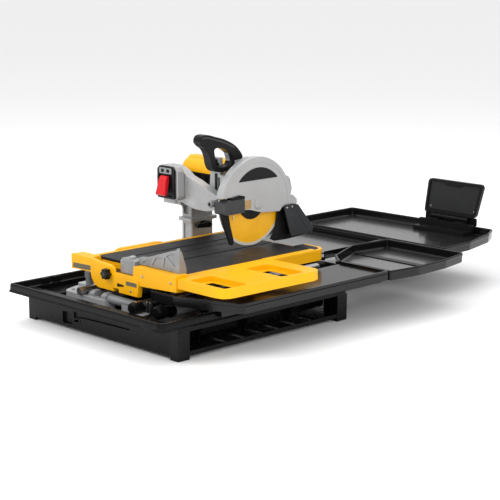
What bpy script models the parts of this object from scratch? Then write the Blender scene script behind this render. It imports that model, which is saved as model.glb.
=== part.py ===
"""Wet tile saw with a sliding cart, a bevelling and plunging head, a water pan and four catch trays."""
import math

import bpy

for old in list(bpy.data.objects):
    bpy.data.objects.remove(old)

# Driving dimensions, in millimetres. X is the operator's right, Y the cutting direction, Z up.
MM = 0.001
GAP = 0.3
ORIGIN_X = 60.5
ORIGIN_Y = 671.0

RIM_X = 331.0
RIM_FRONT = -66.0
RIM_REAR = 798.0
RIM_TOP = 112.0
RIM_BOTTOM = 88.0
LEG_X = 323.0
LEG_REAR = 639.0
TUB_X = 240.0
TUB_FLOOR = 31.0
SHELL = 5.0

RAIL_Z = 106.0
RAIL_R = 11.0
LEFT_RAIL_X = -130.0
RIGHT_RAIL_X = 110.0
CROSS_R = 15.0
CROSS_Z = RAIL_Z - RAIL_R - GAP - CROSS_R
FRONT_CROSS_Y = 68.0
FRONT_CROSS_Z = 95.0
FRONT_CROSS_R = 13.0
REAR_CROSS_Y = 600.0
SIDE_TUBE_X = 195.0
SIDE_TUBE_R = 14.0

ROLLER_R = 14.0
ROLLER_Z = RAIL_Z + RAIL_R + GAP + ROLLER_R
ROLLER_Y = (250.0, 450.0)

MAT_TOP = 196.0
MAT_THICK = 7.7
DECK_TOP = MAT_TOP - MAT_THICK - GAP
DECK_BOTTOM = 172.0
MAT_LEFT = -134.0
MAT_RIGHT = 220.0
MAT_FRONT = 106.0
MAT_REAR = 590.0
KERF = 8.0

BLADE_X = 72.0
BLADE_Y = 501.0
BLADE_Z = 327.0
BLADE_R = 127.0
SHAFT_R = 7.9

BEVEL_X = 42.0
BEVEL_Z = 331.0
PLUNGE_Y = 690.0
PLUNGE_Z = 350.0
PIN_R = 7.0

MOTOR_Y = 505.0
MOTOR_Z = 393.0
MOTOR_R = 42.0

TRAY_TOP = 152.0
TRAY_BOTTOM = 123.0
WALL = 4.0
FOLD_Y = 1388.0
FOLD_Z = 170.0
LEAN = 0.1

PANEL_FRONT = 1384.0
PANEL_BACK = 1396.0

# Pan details: the legs, the drain and the slotted shelf on the right.
LEG_WIDE = 34.0
LEG_DEEP = 40.0
DRAIN = (60.0, 330.0)
DRAIN_R = 14.0
SLOTS = 6
SLOT_PITCH = 66.0
SLOT_FIRST = 170.0
SLOT_WIDE = 25.0

# Column and arm, on the left of the pan.
COLUMN_LEFT = -226.0
COLUMN_RIGHT = -180.0
COLUMN_FRONT = 497.0
COLUMN_REAR = 583.0
COLUMN_TOP = 296.0
ARM_FRONT = 405.0
ARM_REAR = 435.0
BEVEL_LOCK = (540.0, 226.0)
PLUNGE_LOCK = (-7.0, 434.0)
PLUNGE_LOCK_R = 4.5

# Guard, gear train and handle on the plunging head.
GUARD_Z = 317.5
GUARD_R = 141.0
GUARD_BOTTOM = 298.0
GUARD_WALL = 3.5
CASE_R = 48.6
ARBOR_TEETH = 26
PINION_TEETH = 14
GEAR_LOW = 16.0
GEAR_HIGH = 36.0
MESH_ANGLE = math.atan2(MOTOR_Z - BLADE_Z, MOTOR_Y - BLADE_Y)
FLANGE_R = 30.0
COVER_FLANGE_R = 51.0
WATER_KNOB = (48.0, 332.0)

# Joint origins.
HEAD_ORIGIN = (-32.0, PLUNGE_Y, PLUNGE_Z)
ARBOR_ORIGIN = (BLADE_X, BLADE_Y, BLADE_Z)
ROTOR_ORIGIN = (-100.0, MOTOR_Y, MOTOR_Z)
BEVEL_ORIGIN = (BEVEL_X, 437.0, BEVEL_Z)
CART_ORIGIN = (0.0, 0.0, 170.0)
GUIDE_ORIGIN = (34.0, 90.0, 200.0)
GUIDE_KNOB = (40.0, 89.0)
PROTRACTOR_KNOB = (-30.0, 168.0)

SIDES = 24


# ---------------------------------------------------------------- materials

def material(name, colour, roughness, metallic):
    """A Principled surface with one colour."""
    made = bpy.data.materials.new(name)
    made.use_nodes = True
    shader = made.node_tree.nodes["Principled BSDF"]
    shader.inputs["Base Color"].default_value = (*colour, 1.0)
    shader.inputs["Roughness"].default_value = roughness
    shader.inputs["Metallic"].default_value = metallic
    made.diffuse_color = (*colour, 1.0)
    return made


BLACK = material("black_plastic", (0.022, 0.024, 0.025), 0.5, 0.0)
YELLOW = material("yellow_plastic", (0.90, 0.56, 0.02), 0.42, 0.0)
YELLOW_PAINT = material("yellow_paint", (0.90, 0.58, 0.03), 0.35, 0.0)
SILVER = material("silver_paint", (0.56, 0.57, 0.57), 0.38, 0.3)
ALUMINIUM = material("cast_aluminium", (0.66, 0.67, 0.67), 0.42, 0.85)
STEEL = material("steel", (0.60, 0.60, 0.60), 0.3, 0.95)
RUBBER = material("grey_rubber", (0.16, 0.17, 0.18), 0.75, 0.0)
BLACK_RUBBER = material("black_rubber", (0.02, 0.02, 0.02), 0.7, 0.0)
GREY = material("grey_plastic", (0.20, 0.21, 0.22), 0.5, 0.0)
RED = material("red_plastic", (0.72, 0.05, 0.05), 0.4, 0.0)
COPPER = material("copper_windings", (0.62, 0.30, 0.14), 0.4, 0.9)
BRASS = material("brass", (0.75, 0.55, 0.22), 0.35, 0.9)


# ---------------------------------------------------------------- shape helpers

def box(x0, x1, y0, y1, z0, z1):
    """A block between two corners."""
    corners = [(x, y, z) for x in (x0, x1) for y in (y0, y1) for z in (z0, z1)]
    faces = [(0, 1, 3, 2), (4, 6, 7, 5), (0, 4, 5, 1), (2, 3, 7, 6), (0, 2, 6, 4), (1, 5, 7, 3)]
    return corners, faces


AXIS_ORDER = {"X": lambda a, b, t: (t, a, b), "Y": lambda a, b, t: (b, t, a), "Z": lambda a, b, t: (a, b, t)}


def prism(axis, outline, low, high):
    """A flat outline pushed along an axis; the outline runs anticlockwise seen from the axis's + end."""
    order = AXIS_ORDER[axis]
    count = len(outline)
    corners = [order(a, b, low) for a, b in outline] + [order(a, b, high) for a, b in outline]
    faces = [tuple(reversed(range(count))), tuple(range(count, 2 * count))]
    for i in range(count):
        j = (i + 1) % count
        faces.append((i, j, count + j, count + i))
    return corners, faces


def plate_xz(outline, y0, y1):
    """An outline given as (x, z) pairs, clockwise or not, pushed along Y."""
    area = sum(a[0] * b[1] - b[0] * a[1] for a, b in zip(outline, outline[1:] + outline[:1]))
    ordered = outline if area < 0 else outline[::-1]
    return prism("Y", [(z, x) for x, z in ordered], y0, y1)


def plate_yz(outline, x0, x1):
    """An outline given as (y, z) pairs, pushed along X."""
    area = sum(a[0] * b[1] - b[0] * a[1] for a, b in zip(outline, outline[1:] + outline[:1]))
    return prism("X", outline if area > 0 else outline[::-1], x0, x1)


def plate_xy(outline, z0, z1):
    """An outline given as (x, y) pairs, pushed along Z."""
    area = sum(a[0] * b[1] - b[0] * a[1] for a, b in zip(outline, outline[1:] + outline[:1]))
    return prism("Z", outline if area > 0 else outline[::-1], z0, z1)


def circle(a, b, radius, sides=SIDES):
    """Points round a full circle."""
    return [(a + radius * math.cos(2 * math.pi * i / sides),
             b + radius * math.sin(2 * math.pi * i / sides)) for i in range(sides)]


def arc(a, b, radius, start, stop, steps):
    """Points on a circle from one angle to another, in degrees."""
    angles = [math.radians(start + (stop - start) * i / steps) for i in range(steps + 1)]
    return [(a + radius * math.cos(t), b + radius * math.sin(t)) for t in angles]


def rod(axis, centre, radius, low, high, sides=SIDES):
    """A round bar; centre holds the two coordinates square to the axis, in x, y, z order."""
    a, b = centre
    pair = circle(b, a, radius, sides) if axis == "Y" else circle(a, b, radius, sides)
    return prism(axis, pair, low, high)


def solid(name, pieces, paint, origin=(0.0, 0.0, 0.0), smooth=False, hidden=False):
    """One mesh object from separate closed pieces, its origin placed at a chosen point."""
    corners, faces = [], []
    for piece_corners, piece_faces in pieces:
        start = len(corners)
        corners += [tuple((c - o) * MM for c, o in zip(corner, origin)) for corner in piece_corners]
        faces += [tuple(start + i for i in face) for face in piece_faces]
    mesh = bpy.data.meshes.new(name)
    mesh.from_pydata(corners, [], faces)
    mesh.materials.append(paint)
    if smooth:
        mesh.shade_smooth()
        mesh.set_sharp_from_angle(angle=math.radians(35))
    made = bpy.data.objects.new(name, mesh)
    made.location = ((origin[0] - ORIGIN_X) * MM, (origin[1] - ORIGIN_Y) * MM, origin[2] * MM)
    bpy.context.scene.collection.objects.link(made)
    if hidden:
        made.hide_render = True
        made.display_type = "WIRE"
    return made


def boolean(target, operation, pieces):
    """Join or cut each piece in turn with a hidden helper solid."""
    for number, piece in enumerate(pieces):
        label = f"{target.name}_{operation.lower()}_{len(target.modifiers)}_{number}"
        helper = solid(label, [piece], target.data.materials[0], hidden=True)
        step = target.modifiers.new(label, "BOOLEAN")
        step.operation = operation
        step.solver = "EXACT"
        step.object = helper
    return target


def join(target, *pieces):
    return boolean(target, "UNION", pieces)


def cut(target, *pieces):
    return boolean(target, "DIFFERENCE", pieces)


def ring(name, axis, centre, outer, inner, low, high, paint, origin, sides=SIDES):
    """A round solid with a round hole through it."""
    made = solid(name, [rod(axis, centre, outer, low, high, sides)], paint, origin, smooth=True)
    return cut(made, rod(axis, centre, inner, low - 1.0, high + 1.0, max(sides, SIDES)))


# ---------------------------------------------------------------- pan and frame

def build_pan():
    """The legged water pan: rim tray, tub, front apron, four legs and the slotted shelf."""
    pan = solid("water_pan", [box(-RIM_X, RIM_X, RIM_FRONT, RIM_REAR, RIM_BOTTOM, RIM_TOP)], BLACK)
    join(pan,
         box(-LEG_X, LEG_X, 0.0, LEG_REAR, 76.0, 100.0),
         box(-TUB_X, TUB_X, 10.0, LEG_REAR + 1.0, TUB_FLOOR - SHELL, 90.0),
         box(-LEG_X + 1.0, LEG_X - 1.0, 0.5, 12.0, 8.0, 92.0),
         box(160.0, LEG_X - 2.0, 6.0, LEG_REAR - 2.0, 14.0, 20.0),
         box(TUB_X - 6.0, TUB_X - 1.0, 7.0, LEG_REAR - 3.0, 15.0, 40.0))
    for x0, x1 in ((-LEG_X, -LEG_X + LEG_WIDE), (LEG_X - LEG_WIDE, LEG_X)):
        join(pan, box(x0, x1, 0.0, LEG_DEEP, 0.0, 94.0),
             box(x0, x1, LEG_REAR - LEG_DEEP, LEG_REAR, 0.0, 94.0))
    cut(pan,
        box(-RIM_X + 6.0, RIM_X - 6.0, RIM_FRONT + 6.0, RIM_REAR - 6.0, RIM_BOTTOM + 4.0, 120.0),
        box(-LEG_X + 6.0, LEG_X - 6.0, 13.0, LEG_REAR - 6.0, 81.0, 119.0),
        box(-TUB_X + SHELL, TUB_X - SHELL, 18.0, LEG_REAR - 5.0, TUB_FLOOR, 118.0),
        box(-163.0, -119.0, -1.0, 8.0, 18.0, 49.0),
        box(-108.0, 122.0, -1.0, 4.0, 55.0, 60.0),
        rod("Z", DRAIN, DRAIN_R + GAP, 20.0, 40.0))
    for i in range(SLOTS):
        y = SLOT_FIRST + SLOT_PITCH * i
        cut(pan, box(248.0, 308.0, y, y + SLOT_WIDE, 10.0, 24.0))


def build_drain_plug():
    """A rubber plug that pushes up into the tub floor."""
    plug = solid("drain_plug", [rod("Z", DRAIN, DRAIN_R, 22.0, TUB_FLOOR)], BLACK_RUBBER,
                 (*DRAIN, 26.0), smooth=True)
    join(plug, rod("Z", DRAIN, DRAIN_R + 5.0, 18.0, TUB_FLOOR - SHELL - GAP))


def build_left_casting():
    """The frame casting under the left rail, on two pads in the tub."""
    casting = solid("left_casting", [box(-228.0, -146.0, 40.0, 612.0, 62.0, 105.0)], ALUMINIUM)
    join(casting, box(-227.0, -61.0, 41.0, 95.0, 61.0, 94.4))
    for y0 in (44.0, 560.0):
        join(casting, box(-222.0, -160.0, y0, y0 + 46.0, TUB_FLOOR + GAP, 64.0))
    cut(casting, box(-216.0, -158.0, 110.0, 400.0, 74.0, 110.0))


def build_frame_tubes():
    """The cross tubes, the two rails, the side tube with its cap, and the two saddle feet."""
    solid("front_cross_tube", [rod("X", (FRONT_CROSS_Y, FRONT_CROSS_Z), FRONT_CROSS_R, -61.0 + GAP,
                                   RIGHT_RAIL_X - RAIL_R - GAP)], GREY, smooth=True)
    solid("rear_cross_tube", [rod("X", (REAR_CROSS_Y, CROSS_Z), CROSS_R, -146.0 + GAP,
                                  SIDE_TUBE_X - SIDE_TUBE_R - 1.2)], GREY, smooth=True)
    for name, x in (("left_rail", LEFT_RAIL_X), ("right_rail", RIGHT_RAIL_X)):
        solid(name, [rod("Y", (x, RAIL_Z), RAIL_R, 34.0, 766.0)], STEEL, smooth=True)
    solid("side_tube", [rod("Y", (SIDE_TUBE_X, 97.0), SIDE_TUBE_R, 98.0, 616.0)], ALUMINIUM, smooth=True)
    cap = solid("side_tube_cap", [rod("Y", (SIDE_TUBE_X, 97.0), SIDE_TUBE_R, 84.0, 98.0 - GAP)], BLACK,
                smooth=True)
    join(cap, box(SIDE_TUBE_X - 10.0, SIDE_TUBE_X + 6.0, 80.0, 92.0, 82.0, 95.0))
    for name, x, y, z, radius in (("front_foot", 54.0, FRONT_CROSS_Y, FRONT_CROSS_Z, FRONT_CROSS_R),
                                  ("rear_foot", 104.0, REAR_CROSS_Y, CROSS_Z, CROSS_R)):
        foot = solid(name, [box(x - 46.0, x + 46.0, y - 27.0, y + 27.0, TUB_FLOOR + GAP, 44.0)], ALUMINIUM)
        join(foot, box(x - 25.0, x + 25.0, y - 13.0, y + 13.0, 42.0, z - 2.0))
        cut(foot, rod("X", (y, z), radius + GAP, x - 60.0, x + 60.0))


def build_pump():
    """The water pump: a vented body, its motor dome and its hose barb."""
    pump = solid("water_pump", [box(-60.0, 20.0, 480.0, 558.0, TUB_FLOOR + GAP, 72.0)], BLACK)
    join(pump, rod("Z", (-20.0, 519.0), 26.0, 70.0, 84.0), rod("Z", (-44.0, 540.0), 5.0, 70.0, 92.0, 16))
    cut(pump, rod("Z", (-44.0, 540.0), 2.5, 60.0, 95.0, 16))
    for i in range(5):
        x = -52.0 + 15.0 * i
        cut(pump, box(x, x + 6.0, 470.0, 486.0, 38.0, 64.0))


# ---------------------------------------------------------------- column, arm and switch

def build_column():
    """The hollow post that carries the arm, flared at its head."""
    column = solid("column", [box(COLUMN_LEFT, COLUMN_RIGHT, COLUMN_FRONT, COLUMN_REAR, 110.0, 290.0)],
                   ALUMINIUM)
    join(column,
         box(-227.0, -150.0, 470.0, 600.0, 105.0 + GAP, 114.0),
         box(-226.5, -168.0, 488.0, 592.0, 236.0, 246.0),
         plate_xz([(COLUMN_LEFT, 244.0), (-168.0, 244.0), (-156.0, 280.0), (-156.0, COLUMN_TOP),
                   (COLUMN_LEFT, COLUMN_TOP)], COLUMN_FRONT + 1.0, COLUMN_REAR - 1.0))
    cut(column, box(-214.0, -192.0, 509.0, 571.0, 100.0, 232.0))


def build_arm():
    """The cast arm from the column to the bevel pivot."""
    bottom = COLUMN_TOP + 1.0
    outline = [(COLUMN_LEFT, bottom), (-150.0, bottom), (-60.0, 300.0), (BEVEL_X - 12.0, BEVEL_Z - 22.0)]
    outline += arc(BEVEL_X, BEVEL_Z, 16.0, -60.0, 60.0, 6)
    outline += [(BEVEL_X - 12.0, BEVEL_Z + 22.0), (-30.0, 366.0), (-72.0, 388.0), (-112.0, 402.0),
                (-150.0, 412.0), (-190.0, 412.0)]
    arm = solid("arm_casting", [plate_xz(outline, ARM_FRONT, ARM_REAR)], ALUMINIUM)
    join(arm,
         box(COLUMN_LEFT, -150.0, 430.0, COLUMN_REAR, bottom, 322.0),
         box(-225.0, -170.0, 428.0, 446.0, 300.0, 400.0))
    cut(arm,
        rod("Y", (BEVEL_X, BEVEL_Z), PIN_R + GAP, 400.0, 440.0),
        plate_xz([(-140.0, 312.0), (-66.0, 314.0), (-4.0, 324.0), (-4.0, 338.0), (-44.0, 360.0),
                  (-84.0, 380.0), (-140.0, 396.0)], 418.0, 445.0))


def build_switch():
    """The switch box, its cover with a paddle well and two sockets, and the stop paddle."""
    case = solid("switch_box", [box(-188.0, -112.0, 378.0, ARM_FRONT - GAP, 322.0, 421.0)], SILVER)
    cut(case, box(-182.0, -118.0, 372.0, 398.0, 328.0, 415.0))
    cover = solid("switch_cover", [box(-186.0, -114.0, 372.0, 378.0 - GAP, 324.0, 419.0)], BLACK)
    join(cover, box(-176.0, -134.0, 367.0, 374.0, 398.0, 414.0))
    cut(cover, box(-176.0, -138.0, 360.0, 376.0, 334.0, 392.0),
        rod("Y", (-168.0, 406.0), 3.5, 364.0, 374.0, 12), rod("Y", (-146.0, 406.0), 3.5, 364.0, 374.0, 12))
    solid("stop_paddle", [plate_yz([(374.0, 391.0), (364.0, 389.0), (350.0, 350.0), (350.0, 335.0),
                                    (356.0, 335.0), (360.0, 352.0), (374.0, 384.0)],
                                   -175.0, -139.0)], RED, (-157.0, 371.0, 388.0))


def build_bevel_lock():
    """The lever that locks the bevel setting, on the side of the column."""
    hub = solid("bevel_lock_lever", [rod("X", BEVEL_LOCK, 9.5, COLUMN_RIGHT + GAP, -148.0)], BLACK,
                (COLUMN_RIGHT, *BEVEL_LOCK), smooth=True)
    join(hub, plate_yz([(540.0, 218.0), (548.0, 226.0), (540.0, 234.0), (488.0, 232.0), (488.0, 222.0)],
                       -153.0, -140.0))


# ---------------------------------------------------------------- bevelling bracket

def build_bevel_bracket():
    """The bracket that tilts on the bevel pin and holds the plunge pin at its rear."""
    outline = [(-62.0, 300.0), (8.0, 300.0), (BEVEL_X, BEVEL_Z - 16.0), (56.0, 318.0), (56.0, 400.0),
               (12.5, 404.0), (9.0, 452.0), (-24.0, 452.0), (-34.0, 340.0), (-62.0, 336.0)]
    bracket = solid("bevel_bracket", [plate_xz(outline, 437.0, 450.0)], ALUMINIUM, BEVEL_ORIGIN)
    join(bracket,
         box(-62.0, -2.0, 440.0, 704.0, 301.0, 330.0),
         plate_yz([(660.0, 310.0), (704.0, 310.0)] + arc(PLUNGE_Y, PLUNGE_Z, 15.0, 0.0, 180.0, 8), -62.0, -2.0))
    cut(bracket,
        box(-48.0, -16.0, 650.0, 720.0, 329.0, 380.0),
        rod("X", (PLUNGE_Y, PLUNGE_Z), PIN_R + GAP, -70.0, 10.0),
        rod("Y", (BEVEL_X, BEVEL_Z), PIN_R + GAP, 430.0, 460.0),
        rod("Y", PLUNGE_LOCK, PLUNGE_LOCK_R + GAP, 430.0, 460.0, 16),
        box(2.0, 12.0, 430.0, 460.0, 356.0, 396.0))
    solid("bevel_pin", [rod("Y", (BEVEL_X, BEVEL_Z), PIN_R, 406.0, 449.0)], STEEL, BEVEL_ORIGIN, smooth=True)
    solid("plunge_pin", [rod("X", (PLUNGE_Y, PLUNGE_Z), PIN_R, -61.0, -3.0)], STEEL,
          HEAD_ORIGIN, smooth=True)
    knob = solid("plunge_lock_knob", [rod("Y", PLUNGE_LOCK, PLUNGE_LOCK_R, 418.0, 449.0, 16)], BLACK,
                 (PLUNGE_LOCK[0], 430.0, PLUNGE_LOCK[1]), smooth=True)
    join(knob, rod("Y", PLUNGE_LOCK, 15.0, 416.0, 437.0 - GAP))


# ---------------------------------------------------------------- plunging head

def build_gear_case():
    """The gear housing, its motor seat and the lever that hangs it on the plunge pin."""
    case = solid("gear_case", [rod("X", (BLADE_Y, BLADE_Z), CASE_R, 4.0, 52.0, 48)], ALUMINIUM, HEAD_ORIGIN,
                 smooth=True)
    join(case,
         rod("X", (MOTOR_Y, MOTOR_Z), 44.0, 3.0, 53.0, 32),
         box(10.0, 46.0, 465.0, 545.0, 392.0, 446.0),
         plate_yz([(520.0, 350.0), (560.0, 350.0), (680.0, 337.0)]
                  + arc(PLUNGE_Y, PLUNGE_Z, 13.0, -90.0, 100.0, 8) + [(560.0, 392.0), (520.0, 400.0)],
                  -46.0, -18.0),
         box(-30.0, 12.0, 542.0, 562.0, 352.0, 390.0))
    cut(case,
        rod("X", (BLADE_Y, BLADE_Z), CASE_R - 3.0, 8.0, 48.0, 48),
        rod("X", (MOTOR_Y, MOTOR_Z), 26.0, -10.0, 48.0),
        rod("X", (BLADE_Y, BLADE_Z), 17.0, 40.0, 60.0),
        rod("X", (PLUNGE_Y, PLUNGE_Z), PIN_R + GAP, -60.0, 0.0),
        rod("X", (MOTOR_Y, MOTOR_Z), MOTOR_R + GAP, -60.0, 2.9, 32))


def build_motor():
    """The motor: housing, vented end cap, stator, and rotor with its pinion."""
    housing = solid("motor_housing", [rod("X", (MOTOR_Y, MOTOR_Z), MOTOR_R, -176.0, 3.0 - GAP, 32)],
                    YELLOW_PAINT, HEAD_ORIGIN, smooth=True)
    cut(housing, rod("X", (MOTOR_Y, MOTOR_Z), MOTOR_R - 4.0, -186.0, -4.0, 32),
        rod("X", (MOTOR_Y, MOTOR_Z), 20.0, -10.0, 10.0))
    cap = solid("motor_end_cap", [rod("X", (MOTOR_Y, MOTOR_Z), MOTOR_R, -192.0, -176.0 - GAP, 32)],
                BLACK, HEAD_ORIGIN, smooth=True)
    cut(cap, rod("X", (MOTOR_Y, MOTOR_Z), MOTOR_R - 5.0, -187.0, -170.0, 32))
    for i in range(5):
        z = MOTOR_Z - 22.0 + 11.0 * i
        cut(cap, box(-196.0, -181.0, MOTOR_Y - 20.0, MOTOR_Y + 20.0, z - 2.0, z + 2.0))
    ring("motor_stator", "X", (MOTOR_Y, MOTOR_Z), MOTOR_R - 4.3, 26.0, -150.0, -60.0, COPPER, HEAD_ORIGIN)
    rotor = solid("motor_rotor", [rod("X", (MOTOR_Y, MOTOR_Z), 25.0, -145.0, -65.0)], STEEL, ROTOR_ORIGIN,
                  smooth=True)
    join(rotor, rod("X", (MOTOR_Y, MOTOR_Z), 6.0, -172.0, 44.0, 16),
         gear("X", (MOTOR_Y, MOTOR_Z), 20.9, 24.9, PINION_TEETH, GEAR_LOW, GEAR_HIGH,
              MESH_ANGLE + math.pi))


def gear(axis, centre, root, tip, teeth, low, high, phase):
    """A spur gear outline: each tooth is a narrow flat tip between two root flats."""
    outline = []
    step = 2 * math.pi / teeth
    for i in range(teeth):
        for share, radius in ((-0.30, root), (-0.12, tip), (0.12, tip), (0.30, root)):
            angle = phase + step * (i + share)
            outline.append((centre[0] + radius * math.cos(angle), centre[1] + radius * math.sin(angle)))
    return prism(axis, outline, low, high)


def build_spindle():
    """The arbor with its gear, its bearing, the flanges, the blade and the nut."""
    arbor = solid("arbor", [rod("X", (BLADE_Y, BLADE_Z), SHAFT_R, 10.0, 92.0)], STEEL, ARBOR_ORIGIN,
                  smooth=True)
    join(arbor, gear("X", (BLADE_Y, BLADE_Z), 40.5, 44.6, ARBOR_TEETH, GEAR_LOW, GEAR_HIGH,
                     MESH_ANGLE + math.pi / ARBOR_TEETH))
    ring("arbor_bearing", "X", (BLADE_Y, BLADE_Z), 17.0 - GAP, SHAFT_R + GAP, 40.0, 51.0, STEEL, HEAD_ORIGIN)
    ring("inner_flange", "X", (BLADE_Y, BLADE_Z), FLANGE_R, SHAFT_R + GAP, 63.0, BLADE_X - 1.0 - GAP, STEEL,
         ARBOR_ORIGIN)
    ring("blade", "X", (BLADE_Y, BLADE_Z), BLADE_R, SHAFT_R + GAP, BLADE_X - 1.0, BLADE_X + 1.0,
         YELLOW_PAINT, ARBOR_ORIGIN, 72)
    ring("outer_flange", "X", (BLADE_Y, BLADE_Z), COVER_FLANGE_R, SHAFT_R + GAP, BLADE_X + 1.0 + GAP, 77.0,
         BLACK, ARBOR_ORIGIN, 32)
    ring("arbor_nut", "X", (BLADE_Y, BLADE_Z), 14.0, SHAFT_R + GAP, 77.0 + GAP, 88.0, STEEL, ARBOR_ORIGIN, 6)


def build_guard():
    """A half drum over the blade, open below and in front where the nozzle block sits."""
    guard = solid("blade_guard", [rod("X", (BLADE_Y, GUARD_Z), GUARD_R, 58.0, 98.0, 64)], SILVER, HEAD_ORIGIN,
                  smooth=True)
    join(guard, box(60.0, 96.0, 625.0, 668.0, 303.0, 330.0))
    cut(guard,
        rod("X", (BLADE_Y, GUARD_Z), GUARD_R - GUARD_WALL, 61.0, 95.0, 64),
        box(40.0, 120.0, 340.0, 700.0, 150.0, GUARD_BOTTOM),
        box(40.0, 120.0, 340.0, 447.0 + GAP, 200.0, 352.0 + GAP),
        rod("X", (BLADE_Y, BLADE_Z), 20.0, 50.0, 70.0),
        box(61.0, 95.0, 610.0, 664.0, 290.0, 326.0))


def build_nozzle_block():
    """The water block on the guard's front: two nozzles, the tap knob and the front wiper."""
    block = solid("nozzle_block", [box(58.5, 104.0, 362.0, 447.0, 303.0, 352.0)], GREY, HEAD_ORIGIN)
    cut(block, box(65.0, 95.0, 369.0, 460.0, 290.0, 352.5))
    for name, x in (("left_nozzle", 62.0), ("right_nozzle", 99.0)):
        nozzle = solid(name, [rod("Z", (x, 405.0), 3.0, 288.0, 303.0 - GAP, 16)], BRASS, HEAD_ORIGIN,
                       smooth=True)
        cut(nozzle, rod("Z", (x, 405.0), 1.4, 280.0, 300.0, 12))
    solid("water_knob", [rod("Y", WATER_KNOB, 9.0, 372.0, 396.0, 16)], ALUMINIUM,
          (WATER_KNOB[0], 384.0, WATER_KNOB[1]), smooth=True)
    join(block, box(40.0, 60.0, 362.0, 372.0 - GAP, 324.0, 340.0))
    solid("front_wiper", [plate_yz([(366.0, 303.0 - GAP), (400.0, 303.0 - GAP), (400.0, 290.0),
                                    (424.0, 212.0), (412.0, 208.0), (372.0, 290.0)], 84.0, 88.0)],
          BLACK_RUBBER, HEAD_ORIGIN)


def build_flap():
    """The folded splash flap behind the blade."""
    flap = solid("rear_flap", [plate_yz([(668.0, 304.0), (674.0, 302.0), (741.0, 226.0), (724.0, 212.0),
                                         (668.0, 282.0)], 50.0, 104.0)], RUBBER, HEAD_ORIGIN)
    cut(flap, plate_yz([(660.0, 296.0), (670.0, 294.0), (733.0, 222.0), (700.0, 190.0), (660.0, 240.0)],
                       54.0, 100.0))


def build_handle():
    """A closed D-shaped grip."""
    outer = [(341.0, 520.0), (375.0, 528.0), (420.0, 520.0), (458.0, 503.0), (492.0, 480.0), (508.0, 458.0),
             (508.0, 446.0 + GAP), (462.0, 446.0 + GAP), (456.0, 438.0), (412.0, 430.0), (392.0, 434.0),
             (386.0, 470.0), (372.0, 488.0), (338.0, 506.0)]
    loop = [(405.0, 446.0), (450.0, 450.0), (466.0, 466.0), (452.0, 482.0), (424.0, 492.0), (402.0, 486.0)]
    handle = solid("handle", [plate_yz(outer, 14.0, 42.0)], BLACK, HEAD_ORIGIN)
    cut(handle, plate_yz(loop, 0.0, 60.0))


# ---------------------------------------------------------------- cart

def build_cart():
    """The sliding deck with its side bars, rear corner, roller hangers and blade slot."""
    cart = solid("cart_frame", [box(-150.0, 244.0, 104.0 + GAP, 606.0, DECK_BOTTOM, DECK_TOP)], YELLOW,
                 CART_ORIGIN)
    join(cart,
         box(-150.0, MAT_LEFT - GAP, 104.0 + GAP, 604.0, 165.0, MAT_TOP + 1.0),
         box(MAT_RIGHT + GAP, 244.0, 104.0 + GAP, 610.0, 165.0, MAT_TOP),
         plate_xy([(158.0, MAT_REAR + GAP), (243.9, MAT_REAR + GAP), (243.9, 608.0), (232.0, 628.0),
                   (212.0, 637.0), (158.0, 637.0)], 165.5, MAT_TOP - 0.1),
         plate_xy([(-149.0, 180.0), (-149.0, 356.0), (-166.0, 345.0), (-168.0, 330.0), (-168.0, 206.0)],
                  174.0, MAT_TOP + 3.0),
         box(-149.0, 243.0, MAT_REAR + GAP, 605.0, 174.0, MAT_TOP - 4.0))
    for x in (LEFT_RAIL_X, RIGHT_RAIL_X):
        for y in ROLLER_Y:
            join(cart,
                 box(x - 19.0, x - 12.0, y - 22.0, y + 22.0, 120.0, 173.0),
                 box(x + 12.0, x + 19.0, y - 22.0, y + 22.0, 120.0, 173.0),
                 rod("X", (y, ROLLER_Z), 4.0, x - 16.0, x + 16.0, 12))
    cut(cart,
        box(BLADE_X - KERF / 2, BLADE_X + KERF / 2, 118.0, 660.0, 180.0, 210.0))


def build_mats():
    """The two rubber mats, one each side of the kerf; the left one has two bevel kerfs."""
    z0 = DECK_TOP + GAP
    left = solid("left_mat", [box(MAT_LEFT, BLADE_X - KERF / 2, MAT_FRONT, MAT_REAR, z0, MAT_TOP)], RUBBER)
    cut(left, box(-64.0, -57.0, 126.0, 600.0, 191.5, 200.0), box(-11.0, -7.0, 126.0, 600.0, 191.5, 200.0))
    solid("right_mat", [box(BLADE_X + KERF / 2, MAT_RIGHT, MAT_FRONT, MAT_REAR, z0, MAT_TOP)], RUBBER)


def build_extension():
    """The extension table on the cart's right, with two recesses and their windows."""
    outline = [(244.0 + GAP, 66.0), (392.0, 66.0), (410.0, 72.0), (420.0, 92.0), (426.0, 380.0),
               (418.0, 396.0), (402.0, 404.0), (244.0 + GAP, 404.0)]
    table = solid("extension_table", [plate_xy(outline, 170.0, MAT_TOP)], YELLOW)
    for y in (90.0, 270.0):
        cut(table, box(284.0, 384.0, y + 10.0, y + 100.0, 184.0, 200.0),
            box(316.0, 380.0, y + 40.0, y + 62.0, 160.0, 190.0))
    cut(table, box(252.0, 412.0, 78.0, 392.0, 160.0, 178.0))


def build_rollers():
    """Four rollers that run on the rails."""
    for side, x in (("left", LEFT_RAIL_X), ("right", RIGHT_RAIL_X)):
        for end, y in zip(("front", "rear"), ROLLER_Y):
            ring(f"{end}_{side}_roller", "X", (y, ROLLER_Z), ROLLER_R, 4.0 + GAP, x - 10.0, x + 10.0,
                 GREY, (x, y, ROLLER_Z))


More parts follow.
